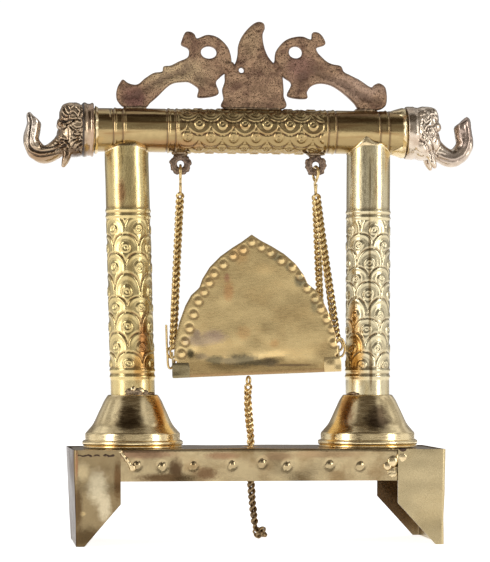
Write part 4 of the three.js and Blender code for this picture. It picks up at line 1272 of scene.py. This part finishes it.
def trunk():
    """The trunk, with its tip rounded off."""
    line = curve_through(TRUNK, 0.8)
    t = np.linspace(0, 1, len(line))
    radii = np.interp(t, [0, 0.3, 0.6, 1], [6.2, 5.3, 5.2, 5.0])
    radii *= np.sqrt(1 - 0.96 * (np.clip(t - 0.86, 0, 1) / 0.14) ** 2)
    points, faces = sweep(line, radii, 28)
    free = points[:, 0] > TRUNK_START
    over = (points - TRUNK_TIP) @ TRUNK_UP * free
    centre = line[np.linalg.norm(points[:, None] - line[None], axis=2).argmin(axis=1)]
    narrow = np.where(free, np.sqrt(1 - 0.75 * np.clip((over + 2.4) / 2.4, 0, 1) ** 2), 1)
    points = centre + (points - centre) * narrow[:, None]
    return points - 0.9 * np.maximum(over, 0)[:, None] * TRUNK_UP, faces


def head_skin(side):
    """One skin round a pile of lumps, trunk, tusks and, on the left, the stubs of broken ones."""
    profile = [*COLLAR[side], (9, 99.5), (0.01, 99.5), (0.01, 96.6), (13.1, 96.6)]
    parts = [turned_on_beam(profile[::-1])]
    parts += [superellipsoid(*sizes) for sizes in HEAD_LUMPS]
    parts.append(trunk())
    for face in (-1, 1):
        parts.append(superellipsoid((108, face * 5.6, 240.6), (3.6, 4.4, 3.2), 2.2, (24, 16)))
        parts.append(superellipsoid((99.8, face * 12.2, 237.5), (5.4, 2.2, 12.6), 2.8, (30, 24)))
        parts.append(superellipsoid((106.6, face * 7.2, 231.6), (4.4, 4.2, 4.8), 2.2, (24, 16)))
        tusk = curve_through([(105, face * 6, 226), (105.9, face * 7, 221.4), (107.7, face * 7, 216.8)],
            0.4)
        parts.append(sweep(tusk, np.interp(np.linspace(0, 1, len(tusk)), [0, 0.7, 1], [3.2, 2.0, 1.1]),
            16))
        if side < 0:
            stub = [(107, face * 7.4, 226.8), (109.6, face * 8.6, 225.4), (112.4, face * 8.2, 224)]
            stub = curve_through(stub, 0.4)
            parts.append(sweep(stub, np.linspace(1.5, 1.0, len(stub)), 14))
    return remeshed(join(parts), 0.42, 4)


def elephant_head(side, hand):
    points, polygons = head_skin(side)
    normals = polygon_normals(points, polygons)
    facing = smoothstep(np.abs(normals[:, 1]), 0.25, 0.6)
    flat = points[:, [0, 2]]
    x, z = flat.T
    height = np.zeros(len(points))
    for depth, width, line in CUTS[side]:
        away = distance_to_lines(flat, [curve_through(line, 0.8)])
        cut = bump(away, width) - 0.3 * bump(away - 1.9 * width, width * 0.8)
        height -= facing * depth * CUT_DEPTH[side] * cut
    eye = np.hypot(x - EYE[side][0], (z - EYE[side][1]) * 0.9)
    height += facing * (0.5 * bump(eye, 0.9) - 0.35 * bump(eye - 1.7, 0.4))
    hollow_and_shade = smoothstep(height, -0.12, -0.6)
    rough = smoothstep(z, 238, 243) * (x < TRUNK_START) * (x > HEAD_BACK)
    ear = (x < 103.5) * (x > HEAD_BACK)
    height += 0.24 * np.maximum(rough, ear * 0.6) * wander(points, 1.9) + 0.05 * wander(points + 40, 0.9)
    on_trunk = smoothstep(x, 116, 119)
    height += 0.26 * on_trunk * wander(points + 20, 2.6)
    hollow_and_shade = np.maximum(hollow_and_shade, 0.8 * on_trunk * smoothstep(wander(points + 60, 1.6), 0.9, 1.5))
    if side < 0:
        band = curve_through([(125, 249), (124.6, 241), (124.6, 234), (122.6, 229)], 1)
        height += 0.55 * facing * on_trunk * smoothstep(distance_to_lines(flat, [band]), 2.9, 2.0)
    height = np.where(x < HEAD_BACK, 0.08 * wander(points, 2.5), height)
    hollow_and_shade *= x > HEAD_BACK
    x, y, z = (points + normals * height[:, None]).T
    x, z = np.minimum(x, 132.4), np.maximum(z, 216)
    if side < 0:
        hollow_and_shade = np.maximum(hollow_and_shade, smoothstep(x, 97.4, 96.6) * smoothstep(x, 95.2, 96.2))
        x = x - 1.5 * bump(z - 241.5, 4.5) * smoothstep(x, 122, 129)
        x = -x + HEAD_SHIFT * smoothstep(x, 134, 126)
    material = HEAD_LEFT if side < 0 else HEAD_RIGHT
    body, nodes = (xyz(x, y, z), polygons), [f"{hand}_elephant_head"]
    mesh(f"{hand}_elephant", body, material, "frame", nodes, 60, hollow_and_shade=hollow_and_shade)
    points, faces = turned_on_beam(COLLAR_SOLDER[side][::-1], 120)
    angle = np.arctan2(points[:, 1], points[:, 2] - BEAM_Z)
    opening = smoothstep(np.cos(angle * 2), -0.2, 0.7) if side > 0 else 1.0
    points[:, 0] += (90 - points[:, 0]) * (1 - opening) * 0.75
    points += uneven(points, 2.4, lambda k: k * 31) * 0.3
    points[:, 0] *= side
    mesh(f"{hand}_collar_solder", (points, faces), SEAM, "frame", crease=70)


# ---------------------------------------------------------------- the table
def halved(quads):
    return np.vstack([quads[:, [0, 1, 2]], quads[:, [0, 2, 3]]])


def bent_sheet(profile, rows, place, relief, mirrored=False):
    """A sheet that follows a bent profile.

    place(a, b, row) gives the outer skin from the profile's two coordinates, relief(skin) its bumps.
    """
    distance = running(profile)
    s, row = np.meshgrid(distance, rows, indexing="ij")
    skin = place(*(np.interp(s, distance, profile[:, k]) for k in (0, 1)), row)
    triangles = halved(grid_faces(len(distance), len(rows)))
    triangles = triangles[:, ::-1] if mirrored else triangles
    outer = skin + vertex_normals(skin, triangles) * relief(skin)[:, None]
    return close_between(outer, outer - vertex_normals(outer, triangles) * SHEET, triangles)


def rounded(corners, radius, step=0.7):
    """A line through corners with each inner corner rounded."""
    corners = np.asarray(corners, float)
    line = [corners[0]]
    for a, b, c in zip(corners[:-2], corners[1:-1], corners[2:]):
        u, v = (a - b) / np.linalg.norm(a - b), (c - b) / np.linalg.norm(c - b)
        p, q = b + u * radius, b + v * radius
        for t in np.linspace(0, 1, 6):
            line.append((1 - t) ** 2 * p + 2 * t * (1 - t) * b + t**2 * q)
    line.append(corners[-1])
    return resample(np.array(line), step)


TABLE_X = (low("table_top")[0] + high("table_top")[0]) / 2
TABLE_PLATE_HALF = high("table_top")[0] - TABLE_X
TABLE_PLATE_DEPTH = high("table_top")[1]
DOMES = [(-67.8, 45.4), (-53.7, 44.6), (-36.1, 45.2), (-14.0, 45.4), (2.9, 46.4), (17.0, 44.6),
    (41.3, 45.2), (58.8, 44.8), (78, 45.3)]


HOLE_X = middle("pull_chain_upper")[0] + 0.6
HOLE_RADIUS = 5.2


def table():
    edge = TABLE_PLATE_DEPTH
    foot = SKIRT_LOW - SHEET
    line = rounded([(-edge, foot), (-edge, TABLE_TOP), (edge, TABLE_TOP), (edge, foot)], 1.2, 0.8)
    rows = np.arange(-TABLE_PLATE_HALF, TABLE_PLATE_HALF + 0.01, 2 * TABLE_PLATE_HALF / 270)

    def place(y, z, x):
        lean = 0.75 * (1 - np.clip((z - SKIRT_LOW) / (TABLE_TOP - SKIRT_LOW), 0, 1))
        bow = 0.9 * (1 - (x / TABLE_PLATE_HALF) ** 2) - 0.5
        return xyz(TABLE_X + x * (1 - lean / TABLE_PLATE_HALF), y,
            z + bow * smoothstep(z, SKIRT_LOW, TABLE_TOP))

    def relief(skin):
        x, y, z = skin.T
        height = 0.25 * wander(skin + 11, 24) + 0.1 * wander(skin + 5, 9)
        on_skirt = smoothstep(z, TABLE_TOP - 1, TABLE_TOP - 3)
        for dome_x, dome_z in DOMES:
            away = np.hypot(x - dome_x, z - dome_z)
            dome = 0.85 * np.sqrt(np.clip(1 - (away / 1.75) ** 2, 0, 1)) - 0.16 * bump(away - 2.3, 0.8)
            height += on_skirt * dome
        for deep, dent_x, dent_z, wide in ((0.5, -41, 41, 7), (0.4, 25, 43, 8)):
            height -= on_skirt * (y < 0) * deep * bump(np.hypot(x - dent_x, z - dent_z), wide)
        return height

    points, faces = bent_sheet(line, rows, place, relief)
    x, y, z = points[faces].mean(axis=1).T
    faces = faces[~((np.hypot(x - HOLE_X, y) < HOLE_RADIUS) & (z > 51))]
    mesh("table_sheet", (points, faces), TABLE_BRASS, "frame", ["table_top"], 40)
    angles = np.linspace(0, TAU, 60)
    radius = HOLE_RADIUS + 0.1
    rim = xyz(HOLE_X + radius * np.cos(angles), radius * np.sin(angles), TABLE_TOP - 0.1)
    mesh("chain_hole_rim", sweep(rim, 0.75, 10, caps=False), TABLE_BRASS, "frame")


KNEE = 23.5


def end_panel(side, hand):
    """Drawn for +X and mirrored: a flap, the side plate and the other flap, bent from one sheet."""
    outer = high("right_end_panel")[0] - TABLE_X
    inner = low("right_end_panel")[0] - TABLE_X
    depth = TABLE_HALF_DEPTH
    line = rounded([(inner, -depth), (outer, -depth), (outer, depth), (inner, depth)], 1.1, 0.75)

    def place(x, y, rise):
        from_outer = outer - x
        low_edge = np.clip(KNEE * (from_outer - 4.2) / (outer - inner - 4.2), 0, KNEE)
        z = low_edge + (TABLE_TOP - 0.1 - low_edge) * rise
        taper, skew, bulge = 1.2, 0, 0
        if side < 0:
            taper = np.interp(y, [-depth, depth], [1.3, 2.8])
            skew = np.interp(y, [-depth, depth], [2.1, -0.8])
            bulge = 0.9 * bump(z - 44, 10) * np.cos(np.clip(y / depth, -1, 1) * np.pi / 2) * (from_outer
                < 0.4)
        lean = (taper * (1 - z / TABLE_TOP) + skew) * np.clip(1 - from_outer / 40, 0, 1)
        return xyz((x - lean + bulge) * side + TABLE_X, y, z)

    def relief(skin):
        return 0.28 * wander(skin + 200 + 40 * side, 17) + 0.1 * wander(skin + 230, 7)

    body = bent_sheet(line, np.linspace(0, 1, 64), place, relief, mirrored=side < 0)
    material = LEG_LEFT if side < 0 else LEG_RIGHT
    mesh(f"{hand}_leg_sheet", body, material, "frame", [f"{hand}_end_panel"], 40)


def table_solder():
    y = -TABLE_HALF_DEPTH
    left = [(-76.8, y, 52.6), (-75, y - 0.1, 50.2), (-73, y + 0.1, 47.6), (-71.4, y + 0.4, 45.2),
        (-69.8, y + 0.9, 43)]
    parts = [solder_bead(left, 1.0, 21), lump((-70.4, y + 0.7, 43.8), (1.8, 1.1, 1.8), 22, rough=0.08)]
    parts.append(lump((-77.2, y - 0.1, 53), (1.5, 0.9, 1.1), 23))
    pale = [lump((82.6, y + 0.2, 49.4), (3.1, 1.3, 3.2), 24, rough=0.12),
        lump((77.4, y + 0.8, 47), (3.0, 1.4, 3.2), 25, rough=0.07),
        lump((74.4, y + 0.9, 44.2), (2.4, 1.0, 2.4), 26, rough=0.1),
        lump((77.2, y + 0.8, 40.6), (2.8, 0.6, 2.4), 27, rough=0.3)]
    dark = [lump((82.6, y - 0.1, 53.4), (2.4, 1.2, 1.3), 28, rough=0.3)]
    seam = xyz(np.linspace(-101.6, -80, 14), y - 0.3, TABLE_TOP - 3.2)
    dark.append(solder_bead(seam + 0.35 * np.sin(np.arange(14) * 2.1)[:, None] * (0, 0, 1), 0.75, 29))
    mesh("table_solder_pale", join(parts + pale), SEAM, "frame")
    mesh("table_solder_dark", join(dark), CHAR, "frame")


# ---------------------------------------------------------------- the seat
SEAT_SHIFT = (middle("left_rear_seat_hook")[0] + middle("right_rear_seat_hook")[0]) / 2 + 0.6


def seated(points):
    """From a tray with straight sides to the tapered, tilted one under its hooks."""
    points = np.array(points, float)
    points[:, 0] *= 1 - SEAT_TAPER * np.maximum(points[:, 1] - SEAT_REAR, 0)
    points = rolled(points)
    points[:, 0] += SEAT_SHIFT
    return points


BACK_HALF = [(45.9, 0.1), (45.9, 9.5), (47.3, 10.4), (47.2, 15), (46.2, 21.7), (43.6, 31.7), (39.8, 41),
    (36.2, 47), (32.4, 50.2), (31.2, 51.4), (30.6, 53), (29.3, 56.2), (24.8, 62.8), (18.5, 68.7),
    (11.4, 73.4), (5.5, 76.8)]
PEARLS = [(0.0, 76.6), (5.4, 73.6), (10.6, 70.2), (16.6, 65.6), (22.8, 61.3), (27.0, 56.4), (30.9, 49.2),
    (35.2, 43.0), (38.4, 36.8), (41.4, 30.9), (44.3, 25.0), (44.9, 16.8), (-5.2, 72.4), (-11.2, 69.2),
    (-17.0, 64.2), (-22.6, 59.2), (-25.6, 54.3), (-28.8, 49.1), (-32.3, 43.8), (-35.3, 36.4),
    (-38.0, 28.5), (-40.9, 21.0), (-43.0, 14.2)]


def seat_back():
    right = np.array(BACK_HALF)
    outline = resample(np.vstack([right, [(0, 80.6)], (right * (-1, 1))[::-1]]), 0.8, closed=True)
    points, faces, loops = flat_region(outline, [], 0.72)
    x, z = points.T
    spread = xyz(x, 77.0, z)
    height = 0.3 * wander(spread, 22) + 0.1 * wander(spread + 9, 8)
    hollow_and_shade = 0.2 * smoothstep(wander(spread + 40, 5), 0.2, 0.8)
    for px, pz in PEARLS:
        away = np.hypot(x - px, z - pz)
        height += 0.52 * bump(away, 1.25) - 0.14 * bump(away - 2.4, 0.7)
        # A dark ring shifted down and right of each pearl: painted shadow of the pearl, in the darkening
        # mask.
        hollow_and_shade += 0.75 * bump(np.hypot(x - px - 0.5, z - pz + 1.0) - 2.2, 0.6)
    height -= 0.3 * bump(z - (8.5 + 1.5 * np.sin(x / 9)), 2.2) * smoothstep(np.abs(x + 6), 26, 16)
    height -= 0.25 * near(points, -36, 14, 3.0)
    edge = distance_to_lines(points, loops)
    rounding = 0.3 * (1 - smoothstep(edge, 0, 0.7))
    rear = SEAT_REAR - height + rounding
    hollow_and_shade += smoothstep(z, 2.6, 1.5) + 0.5 * smoothstep(edge, 0.9, 0.2)
    points, faces = plate(points, rear, rear + SHEET - rounding, faces)
    body = (seated(points), faces)
    both = np.concatenate([hollow_and_shade, hollow_and_shade])
    mesh("seat_back_sheet", body, SEAT_BRASS, "swing", ["seat_back"], 50, hollow_and_shade=both)


def seat_tray():
    parts = []
    inner_edge = SEAT_REAR + SHEET + 0.3
    wall = [(inner_edge, 1), (SEAT_FRONT, 1), (SEAT_FRONT, SEAT_WALL), (inner_edge, SEAT_WALL)]
    holes = [circle(y, SEAT_WALL - 3.2, 1.3, 1.3, 16) for y in (inner_edge + 3.6, SEAT_FRONT - 3.6)]
    points, faces, _ = flat_region(resample(wall, 1.2, closed=True), holes, 1.2)
    y, z = points.T
    for side in (-1, 1):
        lean = 0.4 * z / SEAT_WALL + 0.1 * wander(xyz(side * 60.0, y, z), 9)
        outer = xyz(side * (SEAT_HALF + lean), y, z)
        inner = xyz(side * (SEAT_HALF + lean - SHEET), y, z)
        parts.append(close_between(outer, inner, faces if side > 0 else faces[:, ::-1]))
    edge, rear = SEAT_HALF - 1, SEAT_REAR + 0.2
    floor = [(-edge, rear), (edge, rear), (edge, SEAT_FRONT), (-edge, SEAT_FRONT)]
    points, faces, _ = flat_region(resample(floor, 1.5, closed=True), [], 1.5)
    x, y = points.T
    sag = 0.12 * wander(xyz(x, y, -70.0), 15)
    parts.append(close_between(xyz(x, y, SHEET + sag), xyz(x, y, sag), faces))
    angles = np.radians(np.linspace(0, 90, 7))
    bends = [np.column_stack([edge + r * np.sin(angles), 1 - r * np.cos(angles)]) for r in (1, 0.12)]
    ring = np.vstack([bends[0], bends[1][::-1]])
    count = len(ring)
    for side in (-1, 1):
        ends = [xyz(side * ring[:, 0], y, ring[:, 1]) for y in (rear, SEAT_FRONT)]
        strip = [(k, (k + 1) % count, count + (k + 1) % count, count + k) for k in range(count)]
        strip += [tuple(range(count))[::-1], tuple(range(count, 2 * count))]
        parts.append((np.vstack(ends), [f[::-side] for f in strip]))
    points, faces = join(parts)
    body = (seated(points), faces)
    mesh("seat_tray_sheet", body, TRAY_BRASS, "swing", ["seat_tray"], 40, joined=True)


def rear_tabs():
    width = 9.7
    tab = [(0, 0), (width, 0), (width + 0.3, 1), (width + 0.2, 8.2), (9, 8.7), (0.5, 8.4), (-0.2, 6)]
    flat, flat_faces, loops = flat_region(resample(tab, 0.6, closed=True), [], 0.6)
    edge = distance_to_lines(flat, loops)
    x, z = flat.T
    for side, hand in SIDES:
        swell = 0.25 * wander(xyz(x * side, 33.0, z), 4) + 0.3 * (1 - smoothstep(edge, 0, 1.0))
        outer = xyz(side * (SEAT_HALF - width + x + 0.3), SEAT_REAR - 1.25 + swell - 0.02 * z, z)
        points, faces = close_between(outer, outer + (0, 0.85, 0), flat_faces if side > 0 else
            flat_faces[:, ::-1])
        material = TAB_DARK if side < 0 else TRAY_BRASS
        mesh(f"{hand}_rear_tab", (seated(points), faces), material, "swing",
            crease=40)


# ---------------------------------------------------------------- hooks and hanging chains
# The long wire ends that two of the seat's corner loops keep, from the middle of the loop.
WIRE_ENDS = {"left_rear": [(1.2, 0.6, -4.4), (0, 0.3, -8), (-1.5, 0, -9.4), (-2.8, 0, -7.8),
    (-3.2, 0, -2), (-3.6, 0, 4), (-3.8, 0, 11), (-4.0, 0, 15.4)],
    "right_rear": [(-1.6, 0.5, -4.6), (0.8, 0.2, -6.4), (3.0, 0, -6.0), (4.4, 0, -3.4), (4.4, 0, 0.4),
    (3.2, 0, 3.4), (1.4, 0, 4.4)]}
# The wire of an S-hook is twisted: the turn of its lower and its upper loop, in degrees.
HOOK_TURNS = {-1: [-4, -4], 1: [-6, 13]}
HOOK_RADIUS = (4.0, 4.4)
HOOK_DROP = 8.4


def wire_loop(line, step, radius, sides=12):
    return sweep(curve_through(line, step), radius, sides)


def s_hook(side, hand):
    low_radius, top_radius = HOOK_RADIUS
    low_centre = PIVOT_Z - HOOK_DROP
    down, up = np.radians(np.arange(92, -214, -12)), np.radians(np.arange(-50, 265, 12))
    upper = [(0, top_radius * np.cos(a), PIVOT_Z + top_radius * np.sin(a)) for a in up]
    lower = [(0, low_radius * np.cos(a), low_centre + low_radius * np.sin(a)) for a in down]
    line = curve_through(upper + lower, 0.35)
    turn = np.radians(np.interp(line[:, 2], [low_centre, PIVOT_Z], HOOK_TURNS[side]))
    line = xyz(LUG_X[hand] - line[:, 1] * np.sin(turn), line[:, 1] * np.cos(turn), line[:, 2])
    mesh(f"{hand}_s_hook", sweep(line, 0.8, 14), WIRE_BRASS, "swing", [f"{hand}_top_hook"])


def hooks_and_chains():
    angles = np.radians(np.arange(-70, 285, 12))
    for side, hand in SIDES:
        s_hook(side, hand)
        for end, lean in (("rear", -1), ("front", 1)):
            corner = f"{hand}_{end}"
            node = f"{corner}_seat_hook"
            loop = middle(node)
            width = 1.6 if corner == "left_rear" else 3.2
            ring = xyz(width * np.cos(angles), 0.55 * np.sin(angles / 2), 3.3 * np.sin(angles))
            body = [wire_loop(loop + ring, 0.35, 0.7)]
            if corner in WIRE_ENDS:
                body.append(wire_loop(loop + np.array(WIRE_ENDS[corner]), 0.4, 0.66))
            mesh(f"{node}_wire", join(body), WIRE_BRASS, "swing", [node], joined=True)
            start = np.array([LUG_X[hand] + side * 0.25, lean * 2.7, 200.2])
            finish = loop + (0, 0, 3.0)
            sag = start + (finish - start) * 0.4 + (0, -lean * 0.4, 0)
            route = curve_through([start, sag, finish], 0.5)
            spin = (lambda t: 44 + 12 * np.sin(5 * t)) if lean < 0 else (lambda t: 54 - 12
                * np.sin(4 * t))
            body = chain(route, 3.3, spin, 30 + side * 3 + lean, **SEAT_LINK)
            links = f"{corner}_chain_links"
            mesh(links, body, WIRE_BRASS, "swing", [f"{corner}_chain"], joined=True)
    angles = np.radians(np.arange(-90, 250, 14))
    ring = middle("pull_chain_eye") + xyz(1.1 * np.cos(angles), 1.3 * np.cos(angles),
        2.2 * np.sin(angles))
    eye = wire_loop(ring, 0.3, 0.72)
    mesh("pull_chain_ring", eye, WIRE_BRASS, "swing", ["pull_chain_eye"])


solder_on_frame()
crest()
for side, hand in SIDES:
    elephant_head(side, hand)
    end_panel(side, hand)
table()
table_solder()
seat_back()
seat_tray()
rear_tabs()
hooks_and_chains()
